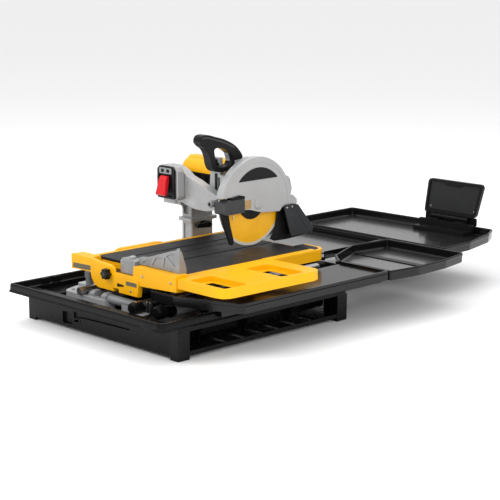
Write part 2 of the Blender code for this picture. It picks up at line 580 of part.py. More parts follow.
def build_fence():
    """The front fence with its protractor quadrant, and the protractor's clamping knob."""
    outline = [(-198.0, 199.0), (-198.0, 157.0), (-112.0, 160.0), (-108.0, 144.0), (-96.0, 128.0),
               (-74.0, 121.0), (92.0, 121.0), (96.0, 153.0), (244.0, 160.0), (244.0, 203.0), (74.0, 203.0),
               (70.0, 173.0), (-18.0, 173.0), (-24.0, 190.0), (-84.0, 194.0), (-110.0, 198.0)]
    fence = solid("fence", [plate_xz(outline, 62.0, 74.0)], YELLOW)
    join(fence,
         box(-197.0, 71.0, 73.0, 104.0, 158.0, 171.0),
         box(74.0, 243.5, 73.0, 104.0, 158.0, 202.8),
         box(-198.0, -118.0, 73.0, 104.0, 160.0, 198.0))
    cut(fence, box(-10.0, 14.0, 55.0, 80.0, 115.0, 132.0),
        box(BLADE_X - KERF / 2 - 1.0, BLADE_X + KERF / 2 + 1.0, 90.0, 110.0, 180.0, 210.0))
    solid("protractor_knob", [rod("Y", PROTRACTOR_KNOB, 13.0, 48.0, 62.0 - GAP, 6)], BLACK,
          (PROTRACTOR_KNOB[0], 62.0, PROTRACTOR_KNOB[1]))


def build_edge_guide():
    """The sliding edge guide: clamp, arm with its end plate, and knob."""
    solid("guide_clamp", [box(6.0, 66.0, 76.0, 102.0, 173.0, 216.0)], GREY, GUIDE_ORIGIN)
    arm = solid("guide_arm", [plate_xz([(66.0 + GAP, 206.0), (90.0, 206.0), (222.0, 204.5), (222.0, 262.0),
                                        (204.0, 262.0), (92.0, 226.0), (66.0 + GAP, 224.0)], 88.0, 104.0)],
                ALUMINIUM, GUIDE_ORIGIN)
    join(arm, plate_yz([(90.0, 205.0), (116.0, 205.0), (116.0, 240.0), (106.0, 272.0), (90.0, 272.0)],
                       221.0, 228.0),
         box(221.0, 228.0, 106.0, 116.0, MAT_TOP + 1.0, 210.0))
    cut(arm, plate_xz([(104.0, 211.0), (214.0, 211.0), (214.0, 254.0), (200.0, 254.0), (104.0, 222.0)],
                      92.0, 106.0))
    solid("guide_knob", [rod("Z", GUIDE_KNOB, 9.0, 216.0 + GAP, 228.0, 16)], ALUMINIUM,
          (*GUIDE_KNOB, 222.0), smooth=True)


# ---------------------------------------------------------------- trays and deflector

def inset_tray(name, outline, inner, floor=TRAY_BOTTOM + WALL):
    """A flat tray: its outline less the hollow above its floor."""
    tray = solid(name, [plate_xy(outline, TRAY_BOTTOM, TRAY_TOP)], BLACK)
    return cut(tray, plate_xy(inner, floor, TRAY_TOP + 5.0))


def build_side_tray():
    """The tray that hooks over the right rim."""
    outline = [(150.0, 56.0), (240.0, 56.0), (424.0, 118.0), (432.0, 130.0), (432.0, 690.0), (252.0, 690.0),
               (252.0, 66.0), (150.0, 62.0)]
    inner = [(240.0, 68.0), (256.0, 68.0), (421.0, 123.0), (427.0, 132.0), (427.0, 685.0), (240.0, 685.0)]
    tray = inset_tray("side_tray", outline, inner)
    join(tray, box(318.0, 340.0, 135.0, 680.0, RIM_TOP + GAP, TRAY_BOTTOM + 1.0),
         box(RIM_X + GAP, 340.0, 135.0, 680.0, 98.0, RIM_TOP + 2.0))


def build_wing_tray():
    """The tray behind the side tray."""
    outline = [(240.0, 690.0 + GAP), (437.0, 690.0 + GAP), (452.0, 800.0), (446.0, 930.0), (425.0, 1040.0),
               (126.0, 1040.0), (111.0, 893.0), (180.0, 740.0)]
    inner = [(243.0, 695.0), (432.0, 695.0), (447.0, 800.0), (441.0, 928.0), (421.0, 1035.0),
             (131.0, 1035.0), (116.0, 894.0), (184.0, 743.0)]
    tray = inset_tray("wing_tray", outline, inner)
    join(tray, box(323.0, RIM_X, 700.0, 788.0, RIM_TOP + GAP, TRAY_BOTTOM + 1.0))


def build_rear_trays():
    """The near tray, which hooks over the rear rim, and the far tray behind it."""
    near = solid("near_rear_tray", [box(-RIM_X, 105.0, 799.0, 1052.0, 118.0, 146.0)], BLACK)
    join(near, box(-RIM_X, 104.0, 780.0, 800.0, 121.0, 126.0),
         box(-300.0, 90.0, 793.0, 797.0, RIM_TOP + GAP, 124.0))
    cut(near, box(-RIM_X + 5.0, 100.0, 775.0, 1047.0, 126.0, 160.0))
    outline = [(-331.0, 1052.0 + GAP), (338.0, 1052.0 + GAP), (334.0, 1190.0), (300.0, 1330.0),
               (262.0, 1402.0), (-331.0, 1386.0)]
    inner = [(-326.0, 1057.0), (333.0, 1057.0), (329.0, 1190.0), (295.0, 1327.0), (259.0, 1397.0),
             (-326.0, 1381.0)]
    inset_tray("far_rear_tray", outline, inner)


def leaned(piece):
    """The deflector panel leans back a little from its hinge line."""
    corners, faces = piece
    return [(x, y + LEAN * (z - FOLD_Z), z) for x, y, z in corners], faces


def build_deflector():
    """The bracket on the far tray and the folding deflector panel."""
    bracket = solid("deflector_bracket", [box(-14.0, 200.0, 1366.0, 1380.0, 127.0 + GAP, 160.0)], BLACK)
    join(bracket,
         box(-10.0, 196.0, 1330.0, 1370.0, 127.0 + GAP, 140.0),
         box(20.0, 60.0, 1367.0, 1396.0, 156.0, 164.0),
         box(130.0, 170.0, 1367.0, 1396.0, 156.0, 164.0),
         rod("X", (FOLD_Y, FOLD_Z), 7.0, 20.0, 60.0, 16),
         rod("X", (FOLD_Y, FOLD_Z), 7.0, 130.0, 170.0, 16))
    cut(bracket, rod("X", (FOLD_Y, FOLD_Z), 3.4, 10.0, 180.0, 16))
    outline = [(-8.0, 180.0), (-8.0, 196.0), (-2.0, 282.0), (6.0, 290.0), (213.0, 290.0), (221.0, 282.0),
               (202.0, 188.0), (194.0, 180.0)]
    panel = solid("deflector", [leaned(plate_xz(outline, PANEL_FRONT, PANEL_BACK))], BLACK,
                  (95.0, FOLD_Y, FOLD_Z))
    cut(panel, leaned(plate_xz([(2.0, 192.0), (8.0, 278.0), (207.0, 278.0), (192.0, 192.0)],
                              PANEL_FRONT - 4.0, PANEL_FRONT + 4.0)))
    join(panel,
         box(61.0, 129.0, 1385.0, 1391.0, 165.0, 182.0),
         rod("X", (FOLD_Y, FOLD_Z), 3.0, 22.0, 168.0, 16),
         rod("X", (FOLD_Y, FOLD_Z), 6.5, 61.0, 129.0, 16))


build_pan()
build_drain_plug()
build_left_casting()
build_frame_tubes()
build_pump()
build_column()
build_arm()
build_switch()
build_bevel_lock()
build_bevel_bracket()
build_gear_case()
build_motor()
build_spindle()
build_guard()
build_nozzle_block()
build_flap()
build_handle()
build_cart()
build_mats()
build_extension()
build_rollers()
build_fence()
build_edge_guide()
build_side_tray()
build_wing_tray()
build_rear_trays()
build_deflector()
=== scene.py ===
"""Looks of the wet tile saw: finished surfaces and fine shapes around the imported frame."""
import math

import bmesh
import bpy
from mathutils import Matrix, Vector


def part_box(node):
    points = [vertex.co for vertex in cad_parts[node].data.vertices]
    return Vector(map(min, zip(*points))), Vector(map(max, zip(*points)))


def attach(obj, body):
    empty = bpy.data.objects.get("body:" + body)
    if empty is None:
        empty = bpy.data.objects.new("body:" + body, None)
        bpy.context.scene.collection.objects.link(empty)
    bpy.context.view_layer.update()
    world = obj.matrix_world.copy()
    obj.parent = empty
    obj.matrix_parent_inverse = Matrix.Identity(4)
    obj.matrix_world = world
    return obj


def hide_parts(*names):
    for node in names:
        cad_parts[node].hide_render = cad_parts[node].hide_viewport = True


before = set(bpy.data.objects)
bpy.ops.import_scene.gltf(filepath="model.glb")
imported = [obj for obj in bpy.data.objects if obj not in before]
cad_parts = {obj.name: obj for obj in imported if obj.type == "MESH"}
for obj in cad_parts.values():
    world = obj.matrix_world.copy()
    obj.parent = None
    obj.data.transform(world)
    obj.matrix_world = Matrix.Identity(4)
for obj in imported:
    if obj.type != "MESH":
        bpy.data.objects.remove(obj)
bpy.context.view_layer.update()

# The design frame is in millimetres: X from the pan's centre line, Y from its legs' front face, Z up.
MM = 0.001
RIM_OVERHANG = 66.0
pan_low, pan_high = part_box("water_pan")
ORIGIN_X = (pan_low.x + pan_high.x) / 2
ORIGIN_Y = pan_low.y + RIM_OVERHANG * MM

RIM_X = 331.0
RIM_FRONT = -66.0
RIM_REAR = 798.0
LEG_X = 323.0
LEG_REAR = 639.0
TUB_X = 240.0
MAT_TOP = 196.0
TRAY_TOP = 152.0
TRAY_BOTTOM = 123.0
BLADE = (72.0, 501.0, 327.0)
GUARD = (501.0, 317.5)
GUARD_R = 141.0
MOTOR = (505.0, 393.0)
FOLD = (1388.0, 170.0)
LEAN = 0.10
TRAY_SKIN = 4.0
TAP = (48.0, 332.0)
LOCK_KNOB = (-7.0, 434.0)
CLAMP_KNOB = (-30.0, 168.0)
GUIDE_SCREW = (40.0, 89.0)
ARM_PIVOT = (42.0, 331.0)
LEFT_RAIL_X = -130.0
RIGHT_RAIL_X = 110.0
RAIL_Z = 106.0
HEAD = "cutting_head"
CAMERA_PLACE = (3040.886, -2387.633, 1038.037)
CAMERA_AZIMUTH = 45.818
CAMERA_ELEVATION = 11.636
CAMERA_LENS = 105.82


def at(x, y, z):
    """A point of the design frame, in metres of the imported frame."""
    return (ORIGIN_X + x * MM, ORIGIN_Y + y * MM, z * MM)


# ---------------------------------------------------------------- surfaces

class Nodes:
    """A short way to build a node tree: add a node, set its inputs, link its outputs."""

    def __init__(self, name):
        self.material = bpy.data.materials.new(name)
        self.material.use_nodes = True
        self.tree = self.material.node_tree
        self.shader = self.tree.nodes["Principled BSDF"]

    def add(self, kind, inputs=None, **settings):
        node = self.tree.nodes.new(kind)
        for key, value in settings.items():
            setattr(node, key, value)
        for key, value in (inputs or {}).items():
            self.put(node, key, value)
        return node

    def put(self, node, key, value):
        if isinstance(value, bpy.types.NodeSocket):
            self.tree.links.new(value, node.inputs[key])
        else:
            node.inputs[key].default_value = value

    def place(self, stretch=(1.0, 1.0, 1.0)):
        where = self.add("ShaderNodeTexCoord").outputs["Object"]
        return self.add("ShaderNodeMapping", {"Vector": where, "Scale": stretch}).outputs["Vector"]

    def noise(self, place, scale, detail=3.0, rough=0.55):
        inputs = {"Vector": place, "Scale": scale, "Detail": detail, "Roughness": rough}
        return self.add("ShaderNodeTexNoise", inputs).outputs["Fac"]

    def span(self, value, low, high, to_low, to_high):
        inputs = {"Value": value, "From Min": low, "From Max": high, "To Min": to_low, "To Max": to_high}
        return self.add("ShaderNodeMapRange", inputs, clamp=True).outputs["Result"]

    def mix(self, share, first, second):
        node = self.add("ShaderNodeMix", data_type="RGBA")
        self.put(node, 0, share)
        for index, value in ((6, first), (7, second)):
            self.put(node, index, (*value, 1.0) if isinstance(value, tuple) else value)
        return node.outputs[2]

    def math(self, operation, first, second):
        node = self.add("ShaderNodeMath", operation=operation)
        self.put(node, 0, first)
        self.put(node, 1, second)
        return node.outputs[0]

    def bump(self, height, strength, distance, normal=None):
        inputs = {"Height": height, "Strength": strength, "Distance": distance}
        if normal is not None:
            inputs["Normal"] = normal
        return self.add("ShaderNodeBump", inputs).outputs["Normal"]


# The slot of each surface, by the name of its material.
SLOTS = {}


def shade(colour, factor):
    """A colour made lighter or darker."""
    return tuple(min(1.0, channel * factor) for channel in colour)


def edges(nodes, reach):
    """1 along outward edges, from rays inside the surface; 0 on flat faces."""
    inside = nodes.add("ShaderNodeAmbientOcclusion", {"Distance": reach}, samples=6, inside=True)
    return nodes.span(inside.outputs["AO"], 0.55, 0.9, 1.0, 0.0)


def surface(name, colour, rough, metallic=0.0, vary=0.16, patch=14.0, grain=900.0, relief=0.12,
            stretch=(1.0, 1.0, 1.0), worn=None, wear=0.0, coat=0.0, shine=0.5, slot=None):
    """A moulded, painted or cast surface: blotches, fine grain, uneven gloss and worn edges."""
    nodes = Nodes(name)
    SLOTS[nodes.material.name] = slot or name
    place = nodes.place(stretch)
    blotch = nodes.noise(place, patch)
    tone = nodes.mix(nodes.span(blotch, 0.3, 0.7, 0.0, 1.0), shade(colour, 1 - vary),
                     shade(colour, 1 + vary))
    fine = nodes.noise(place, grain, 2.0)
    tone = nodes.mix(nodes.span(fine, 0.35, 0.65, 0.0, 0.5), tone, shade(colour, 1 - 0.7 * vary))
    smudge = nodes.noise(place, 4.5 * patch, 5.0, 0.65)
    nodes.put(nodes.shader, "Roughness", nodes.span(smudge, 0.3, 0.7, rough * 0.82, min(1.0, rough * 1.22)))
    if wear:
        rub = nodes.span(nodes.noise(place, 160.0, 4.0), 0.35, 0.7, 0.0, wear)
        tone = nodes.mix(nodes.math("MULTIPLY", edges(nodes, 0.0022), rub), tone,
                         worn or shade(colour, 2.2))
    nodes.put(nodes.shader, "Base Color", tone)
    nodes.put(nodes.shader, "Metallic", metallic)
    nodes.put(nodes.shader, "Specular IOR Level", shine)
    nodes.put(nodes.shader, "Coat Weight", coat)
    nodes.put(nodes.shader, "Coat Roughness", 0.14)
    nodes.put(nodes.shader, "Normal", nodes.bump(fine, relief, 0.0006))
    return nodes.material


def ribbed_rubber(name, colour, rough, pitch, slot):
    """Rubber with fine ribs along Y and a dusty, uneven tone."""
    nodes = Nodes(name)
    SLOTS[nodes.material.name] = slot
    place = nodes.place()
    dust = nodes.noise(place, 22.0, 5.0, 0.65)
    tone = nodes.mix(nodes.span(dust, 0.3, 0.75, 0.0, 1.0), shade(colour, 0.8), shade(colour, 1.35))
    wave = nodes.add("ShaderNodeTexWave", {"Vector": place, "Scale": 2 * math.pi / pitch / 20.0},
                     bands_direction="X")
    fine = nodes.noise(place, 1100.0, 2.0)
    nodes.put(nodes.shader, "Base Color", tone)
    nodes.put(nodes.shader, "Specular IOR Level", 0.25)
    nodes.put(nodes.shader, "Roughness", nodes.span(dust, 0.3, 0.7, rough * 0.85, rough * 1.15))
    first = nodes.bump(wave.outputs["Fac"], 0.25, 0.0005)
    nodes.put(nodes.shader, "Normal", nodes.bump(fine, 0.2, 0.0004, first))
    return nodes.material


def blade_face(name):
    """Yellow paint inside, bare grey diamond rim outside, split by distance from the arbor."""
    nodes = Nodes(name)
    place = nodes.place()
    where = nodes.add("ShaderNodeTexCoord").outputs["Object"]
    centre = nodes.add("ShaderNodeVectorMath", {0: where, 1: at(*BLADE)}, operation="SUBTRACT").outputs[0]
    flat = nodes.add("ShaderNodeVectorMath", {0: centre, 1: (0.0, 1.0, 1.0)},
                     operation="MULTIPLY").outputs[0]
    radius = nodes.add("ShaderNodeVectorMath", {0: flat}, operation="LENGTH").outputs["Value"]
    patchy = nodes.noise(place, 40.0, 4.0)
    paint = nodes.mix(nodes.span(patchy, 0.3, 0.7, 0.0, 1.0), (0.92, 0.45, 0.003), (0.99, 0.51, 0.006))
    grit = nodes.noise(place, 1600.0, 3.0)
    bare = nodes.mix(grit, (0.46, 0.44, 0.38), (0.72, 0.70, 0.62))
    edge = nodes.math("ADD", radius, nodes.span(nodes.noise(place, 90.0, 3.0), 0.3, 0.7, -0.0006, 0.0006))
    share = nodes.span(edge, 0.1185, 0.1193, 0.0, 1.0)
    nodes.put(nodes.shader, "Base Color", nodes.mix(share, paint, bare))
    nodes.put(nodes.shader, "Roughness", nodes.span(share, 0.0, 1.0, 0.36, 0.62))
    nodes.put(nodes.shader, "Normal", nodes.bump(grit, 0.12, 0.0004))
    return nodes.material


BLACK = surface("black_plastic", (0.0034, 0.0035, 0.0039), 0.28, relief=0.10, wear=0.30,
                worn=(0.022, 0.022, 0.024), shine=0.14)
TRAY_BLACK = surface("tray_plastic", (0.0040, 0.0041, 0.0045), 0.17, relief=0.05, wear=0.35,
                     worn=(0.034, 0.034, 0.036), shine=0.30, slot="black_plastic")
# A lighter, coated copy of the tray plastic for upward floor faces: the coat is real gloss, and the lighter
# colour is painted sheen.
TRAY_FLOOR_PAINTED_SHEEN = surface("tray_floor_painted_sheen", (0.0075, 0.0077, 0.0085), 0.30, relief=0.05, coat=0.85, shine=0.3)
SOFT_BLACK = surface("soft_black_plastic", (0.0050, 0.0052, 0.0056), 0.36, relief=0.2, grain=1400.0,
                     shine=0.2, slot="black_plastic")
YELLOW = surface("yellow_plastic", (0.86, 0.415, 0.002), 0.36, vary=0.05, relief=0.06, wear=0.2,
                 worn=(0.95, 0.56, 0.02), shine=0.22)
YELLOW_PAINT = surface("yellow_paint", (0.86, 0.43, 0.003), 0.30, vary=0.05, relief=0.04, coat=0.2,
                       shine=0.25)
SILVER = surface("silver_paint", (0.40, 0.405, 0.41), 0.36, 0.25, vary=0.05, relief=0.06)
ALUMINIUM = surface("cast_aluminium", (0.40, 0.405, 0.41), 0.42, 0.3, vary=0.10, patch=26.0, grain=520.0,
                    relief=0.22, wear=0.5, worn=(0.7, 0.7, 0.7))
STEEL = surface("steel", (0.46, 0.46, 0.46), 0.24, 0.95, vary=0.06, grain=700.0, relief=0.05,
                stretch=(1.0, 0.05, 1.0))
MAT = ribbed_rubber("mat_rubber", (0.0125, 0.013, 0.0145), 0.50, 0.006, "black_rubber")
PANEL_GREY = surface("panel_plastic", (0.016, 0.0165, 0.0175), 0.40, relief=0.2, grain=1400.0, shine=0.3,
                     slot="black_plastic")
FLAP_RUBBER = surface("grey_rubber", (0.030, 0.032, 0.035), 0.5, vary=0.25, relief=0.2, shine=0.3)
BLACK_RUBBER = surface("black_rubber", (0.006, 0.006, 0.007), 0.5, vary=0.3, relief=0.2, shine=0.25)
GREY = surface("grey_plastic", (0.040, 0.042, 0.045), 0.42, relief=0.15, shine=0.35)
CLAMP_GREY = surface("clamp_grey", (0.26, 0.27, 0.28), 0.42, 0.3, relief=0.2, wear=0.4,
                     worn=(0.6, 0.6, 0.6), slot="cast_aluminium")
RED = surface("red_plastic", (0.60, 0.012, 0.018), 0.34, vary=0.08, relief=0.06, shine=0.3)
COPPER = surface("copper_windings", (0.55, 0.22, 0.08), 0.35, 0.9, grain=1500.0, relief=0.4)
BRASS = surface("brass", (0.70, 0.48, 0.18), 0.3, 0.95, relief=0.05)
TAN = surface("tan_label", (0.42, 0.28, 0.12), 0.5, vary=0.2, patch=150.0, shine=0.3, slot="black_plastic")
LABEL_GREY = surface("label_grey", (0.12, 0.11, 0.07), 0.4, vary=0.2, patch=120.0, shine=0.3,
                     slot="black_plastic")
BLADE_FACE = blade_face("blade_face")


# ---------------------------------------------------------------- shapes, in millimetres

def box(x0, x1, y0, y1, z0, z1):
    """A plain block between two corners."""
    corners = [(x, y, z) for x in (x0, x1) for y in (y0, y1) for z in (z0, z1)]
    faces = [(0, 1, 3, 2), (4, 6, 7, 5), (0, 4, 5, 1), (2, 3, 7, 6), (0, 2, 6, 4), (1, 5, 7, 3)]
    return corners, faces


AXES = {"X": lambda a, b, t: (t, a, b), "Y": lambda a, b, t: (a, t, b), "Z": lambda a, b, t: (a, b, t)}


def prism(axis, outline, low, high):
    """An outline in the two coordinates square to the axis, in x, y, z order, pushed along it."""
    count = len(outline)
    corners = [AXES[axis](a, b, low) for a, b in outline] + [AXES[axis](a, b, high) for a, b in outline]
    faces = [tuple(range(count)), tuple(reversed(range(count, 2 * count)))]
    faces += [(i, count + i, count + (i + 1) % count, (i + 1) % count) for i in range(count)]
    return corners, faces


def circle(a, b, radius, sides=32):
    """Points around a circle."""
    turns = [2 * math.pi * i / sides for i in range(sides)]
    return [(a + radius * math.cos(t), b + radius * math.sin(t)) for t in turns]


def arc(a, b, radius, start, stop, steps):
    """Points along part of a circle, from one angle to another in degrees."""
    angles = [math.radians(start + (stop - start) * i / steps) for i in range(steps + 1)]
    return [(a + radius * math.cos(t), b + radius * math.sin(t)) for t in angles]


def rod(axis, centre, radius, low, high, sides=32):
    """A round bar along an axis."""
    return prism(axis, circle(*centre, radius, sides), low, high)


def lathe(axis, centre, profile, sides=48):
    """A closed profile of (radius, place along the axis) turned about the axis."""
    loops = [[AXES[axis](*point, t) for point in circle(*centre, max(r, 0.01), sides)] for r, t in profile]
    return loft(loops + [loops[0]], capped=False)


def loft(loops, capped=True):
    """Loops of equal length joined in order, with the two ends closed."""
    count = len(loops[0])
    corners = [corner for loop in loops for corner in loop]
    faces = []
    for row in range(len(loops) - 1):
        for i in range(count):
            j = (i + 1) % count
            a, b = row * count, (row + 1) * count
            faces.append((a + i, a + j, b + j, b + i))
    if capped:
        faces.append(tuple(reversed(range(count))))
        faces.append(tuple(range((len(loops) - 1) * count, len(loops) * count)))
    return corners, faces


def turned_in(a, b, c, radius, steps):
    """An arc that rounds corner b between its neighbours."""
    first, second = (Vector(a) - Vector(b)), (Vector(c) - Vector(b))
    half = first.angle(second) / 2
    cutback = min(radius / math.tan(half), first.length * 0.48, second.length * 0.48)
    start = Vector(b) + first.normalized() * cutback
    stop = Vector(b) + second.normalized() * cutback
    points = []
    for i in range(steps + 1):
        t = i / steps
        point = start * (1 - t) ** 2 + Vector(b) * 2 * t * (1 - t) + stop * t ** 2
        points.append((point.x, point.y))
    return points


def rounded(outline, radius, steps=5):
    """An outline with its corners rounded; a radius may be given for each corner."""
    radii = radius if isinstance(radius, (list, tuple)) else [radius] * len(outline)
    count = len(outline)
    made = []
    for i in range(count):
        made += turned_in(outline[i - 1], outline[i], outline[(i + 1) % count], radii[i], steps)
    return made


def area(outline):
    """The signed area of an outline: positive when it runs anticlockwise."""
    return sum(a[0] * b[1] - b[0] * a[1] for a, b in zip(outline, outline[1:] + outline[:1])) / 2


def inset(outline, depth):
    """Each point moved inwards along the mean of its two edges' normals."""
    turn = 1.0 if area(outline) > 0 else -1.0
    count = len(outline)
    made = []
    for i in range(count):
        before = Vector(outline[i]) - Vector(outline[i - 1])
        after = Vector(outline[(i + 1) % count]) - Vector(outline[i])
        if before.length < 1e-6 or after.length < 1e-6:
            before = after = before + after
        normals = [Vector((-e.y, e.x)).normalized() * turn for e in (before, after)]
        way = (normals[0] + normals[1]).normalized()
        stretch = 1.0 / max(0.35, way.dot(normals[0]))
        made.append((outline[i][0] + way.x * depth * stretch, outline[i][1] + way.y * depth * stretch))
    return made


def ring_at(outline, radii, depth, steps):
    """A rounded outline drawn in by a depth: the straight sides move in, and the corners tighten."""
    return rounded(inset(outline, depth), [max(1.5, radius - depth) for radius in radii], steps)


def smooth_loop(points, steps=6):
    """A closed curve through the points (Catmull-Rom)."""
    count = len(points)
    made = []
    for i in range(count):
        p = [Vector(points[(i + k) % count]) for k in (-1, 0, 1, 2)]
        for s in range(steps):
            t = s / steps
            point = 0.5 * (2 * p[1] + (p[2] - p[0]) * t + (2 * p[0] - 5 * p[1] + 4 * p[2] - p[3]) * t * t
                           + (3 * p[1] - p[0] - 3 * p[2] + p[3]) * t ** 3)
            made.append((point.x, point.y))
    return made


def raw(name, parts):
    """An object made of several solids, before any joining or cutting."""
    corners, faces = [], []
    for part_corners, part_faces in parts:
        start = len(corners)
        corners += [at(*corner) for corner in part_corners]
        faces += [tuple(start + i for i in face) for face in part_faces]
    mesh = bpy.data.meshes.new(name)
    mesh.from_pydata(corners, [], faces)
    made = bpy.data.objects.new(name, mesh)
    bpy.context.scene.collection.objects.link(made)
    outward(mesh)
    return made


def outward(mesh):
    """Face normals turned to point out of the solid."""
    work = bmesh.new()
    work.from_mesh(mesh)
    bmesh.ops.recalc_face_normals(work, faces=work.faces)
    work.to_mesh(mesh)
    work.free()


def settle(made):
    """Modifiers applied, so the final mesh stands on its own."""
    bpy.context.view_layer.update()
    graph = bpy.context.evaluated_depsgraph_get()
    mesh = bpy.data.meshes.new_from_object(made.evaluated_get(graph))
    made.modifiers.clear()
    made.data = mesh
    return made


def combine(made, operation, parts):
    """Solids joined to a piece, or cut from it, one at a time."""
    for part in parts:
        helper = raw("helper", [part])
        step = made.modifiers.new("shape", "BOOLEAN")
        step.operation = operation
        step.solver = "EXACT"
        step.object = helper
        settle(made)
        bpy.data.objects.remove(helper)
    return made


def soften(made, width, segments, angle=32.0):
    """Rounded edges with shading that keeps the flat faces flat."""
    if width:
        step = made.modifiers.new("edges", "BEVEL")
        step.width = width * MM
        step.segments = segments
        step.limit_method = "ANGLE"
        step.angle_limit = math.radians(angle)
        step.harden_normals = False
    flat = made.modifiers.new("shading", "WEIGHTED_NORMAL")
    flat.keep_sharp = True
    return made


def piece(name, parts, paint, body, slot=None, replaces=(), joins=(), cuts=(), edge=0.0, segments=2,
          smooth=40.0):
    """One finished piece: its solids, joined and cut, with softened edges, riding on a body."""
    slot = slot or SLOTS[paint.name]
    made = raw(name, parts)
    combine(made, "UNION", joins)
    combine(made, "DIFFERENCE", cuts)
    for polygon in made.data.polygons:
        polygon.use_smooth = True
    made.data.set_sharp_from_angle(angle=math.radians(smooth))
    soften(made, edge, segments)
    settle(made)
    made.data.materials.clear()
    made.data.materials.append(paint)
    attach(made, body)
    if replaces:
        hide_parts(*replaces)
    return made


def slab(name, axis, outline, low, high, paint, body, **finish):
    """A piece made of one outline pushed along an axis."""
    return piece(name, [prism(axis, outline, low, high)], paint, body, **finish)


def dress(node, paint, edge=1.0, segments=2):
    """A carried-over solid: its shape stays, with softened edges and a finished surface."""
    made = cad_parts[node]
    made.data.materials.clear()
    made.data.materials.append(paint)
    if "custom_normal" in made.data.attributes:
        made.data.attributes.remove(made.data.attributes["custom_normal"])
    for polygon in made.data.polygons:
        polygon.use_smooth = True
        polygon.material_index = 0
    weld = made.modifiers.new("weld", "WELD")
    weld.merge_threshold = 0.00002
    soften(made, edge, segments)
    return made


def dome(name, axis, centre, radius, base, height, paint, body, sides=28, slot=None):
    """A low domed screw or bolt head with a rounded edge, proud of a face."""
    way = 1.0 if height > 0 else -1.0
    rise = abs(height)
    profile = [(0.0, base - way), (radius, base - way), (radius, base + 0.45 * rise * way),
               (radius * 0.93, base + 0.75 * rise * way), (radius * 0.72, base + 0.94 * rise * way),
               (radius * 0.4, base + rise * way), (0.0, base + rise * way)]
    return piece(name, [lathe(axis, centre, profile, sides)], paint, body, slot, smooth=45.0)


def bolts(name, axis, centres, radius, base, height, body, sides):
    """A row of steel bolt heads, screws or rivets on one face."""
    for i, centre in enumerate(centres):
        dome(f"{name}_{i}", axis, centre, radius, base, height, STEEL, body, sides)


def paint_floor_sheen(made, paint, least=0.0004):
    """Large faces that look straight up take a lighter copy of the paint with a glossy coat: the coat is
    real gloss, and the lighter colour is painted sheen.
    """
    made.data.materials.append(paint)
    for polygon in made.data.polygons:
        if polygon.normal.z > 0.98 and polygon.area > least:
            polygon.material_index = len(made.data.materials) - 1
    return made


def lobed(centre, radius, depth, lobes, points):
    """The outline of a knob whose grip swells into a number of lobes."""
    turns = [2 * math.pi * i / points for i in range(points)]
    reach = [radius + depth * math.cos(lobes * t) for t in turns]
    return [(centre[0] + r * math.cos(t), centre[1] + r * math.sin(t)) for r, t in zip(reach, turns)]


def quad(a0, a1, b0, b1):
    """The four corners of a rectangle, in order."""
    return [(a0, b0), (a1, b0), (a1, b1), (a0, b1)]


def oblong(a0, a1, b0, b1, radius, steps):
    """A rectangle with rounded corners."""
    return rounded(quad(a0, a1, b0, b1), radius, steps)


def level(outline, z):
    """An outline placed at one height."""
    return [(x, y, z) for x, y in outline]


# ---------------------------------------------------------------- pan

def build_pan():
    """The water pan: a tub under a wide flared rim with a rolled lip, in one loft."""
    rim = (quad(-RIM_X, RIM_X, RIM_FRONT, RIM_REAR), [14, 30, 30, 30])
    deck = (quad(-LEG_X, LEG_X, 0, LEG_REAR), [16] * 4)
    tub = (quad(-TUB_X, TUB_X, 10, LEG_REAR + 1), [22] * 4)
    well = (quad(-LEG_X + 6, LEG_X - 6, 13, LEG_REAR - 6), [18] * 4)
    profile = [(tub, 6, 26), (tub, 1.5, 27.5), (tub, 0, 32), (tub, 0, 76), (deck, 0, 76), (deck, 0, 88.5),
               (rim, 16, 88.5), (rim, 13, 91), (rim, 12, 102), (rim, 8, 105), (rim, 6, 103), (rim, 4, 91.5),
               (rim, 1.5, 88.6), (rim, 0.2, 88.2), (rim, 0, 89.2), (rim, 0.6, 90.4), (rim, 2.8, 92.6),
               (rim, 3.6, 96), (rim, 4.2, 107), (rim, 5.4, 110.4), (rim, 8, 111.9), (rim, 11, 111.9),
               (rim, 13.4, 110.6), (rim, 14.6, 107.6), (rim, 15.2, 99), (rim, 17, 94), (rim, 21, 92.2),
               (well, 0, 92), (well, 1, 90.5), (well, 1.4, 82), (well, 3, 80.8), (tub, 3, 80.8),
               (tub, 5, 79), (tub, 6.5, 34), (tub, 9, 31.3), (tub, 14, 31), (tub, 20, 31)]
    loops = [level(ring_at(*outline, depth, 8), z) for outline, depth, z in profile]
    piece("pan_shell", [loft(loops)], BLACK, "base", replaces=("water_pan",), smooth=50)


def build_pan_apron():
    """The front wall between the legs, with its hand hold, its groove and its latch."""
    wall = oblong(-LEG_X + 2, LEG_X - 2, 9, 89, 4, 2)
    recess = rounded([(-163, 17), (-119, 20), (-119, 52), (-163, 50)], 5, 3)
    sliver = rounded([(-112, 40), (-84, 44), (-30, 46), (128, 49), (128, 52), (-30, 55), (-112, 57)], 1.2,
                     2)
    slab("pan_apron", "Y", wall, 0.6, 12, BLACK, "base", edge=1.2, cuts=[prism("Y", recess, -5, 9),
         prism("Y", sliver, -5, 5.5)])
    slab("apron_latch", "Y", rounded([(-116, 24), (-84, 27), (-84, 40), (-116, 38)], 3, 3), -0.8, 1.6,
         BLACK, "base", edge=0.9,
         cuts=[prism("Y", rounded([(-110, 28.5), (-90, 30.5), (-90, 36.5), (-110, 34.5)], 2, 3), -3, 0.6)])


def build_legs():
    """Four angled legs, hollow at the back."""
    for end, y0, y1 in (("front", 0.4, 40), ("rear", LEG_REAR - 40, LEG_REAR - 0.4)):
        for side, sign in (("left", -1), ("right", 1)):
            outer = sign * (LEG_X - 0.4)
            inner = sign * (LEG_X - 34)
            outline = [(inner, 0), (outer - sign * 2, 0), (outer, 3), (outer, 78), (inner, 78)]
            hollow = box(min(inner, outer - sign * 5), max(inner, outer - sign * 5), y0 + 5, y1 - 5, -5, 70)
            slab(f"{end}_{side}_leg", "Y", outline, y0, y1, BLACK, "base", cuts=[hollow], edge=1.6)


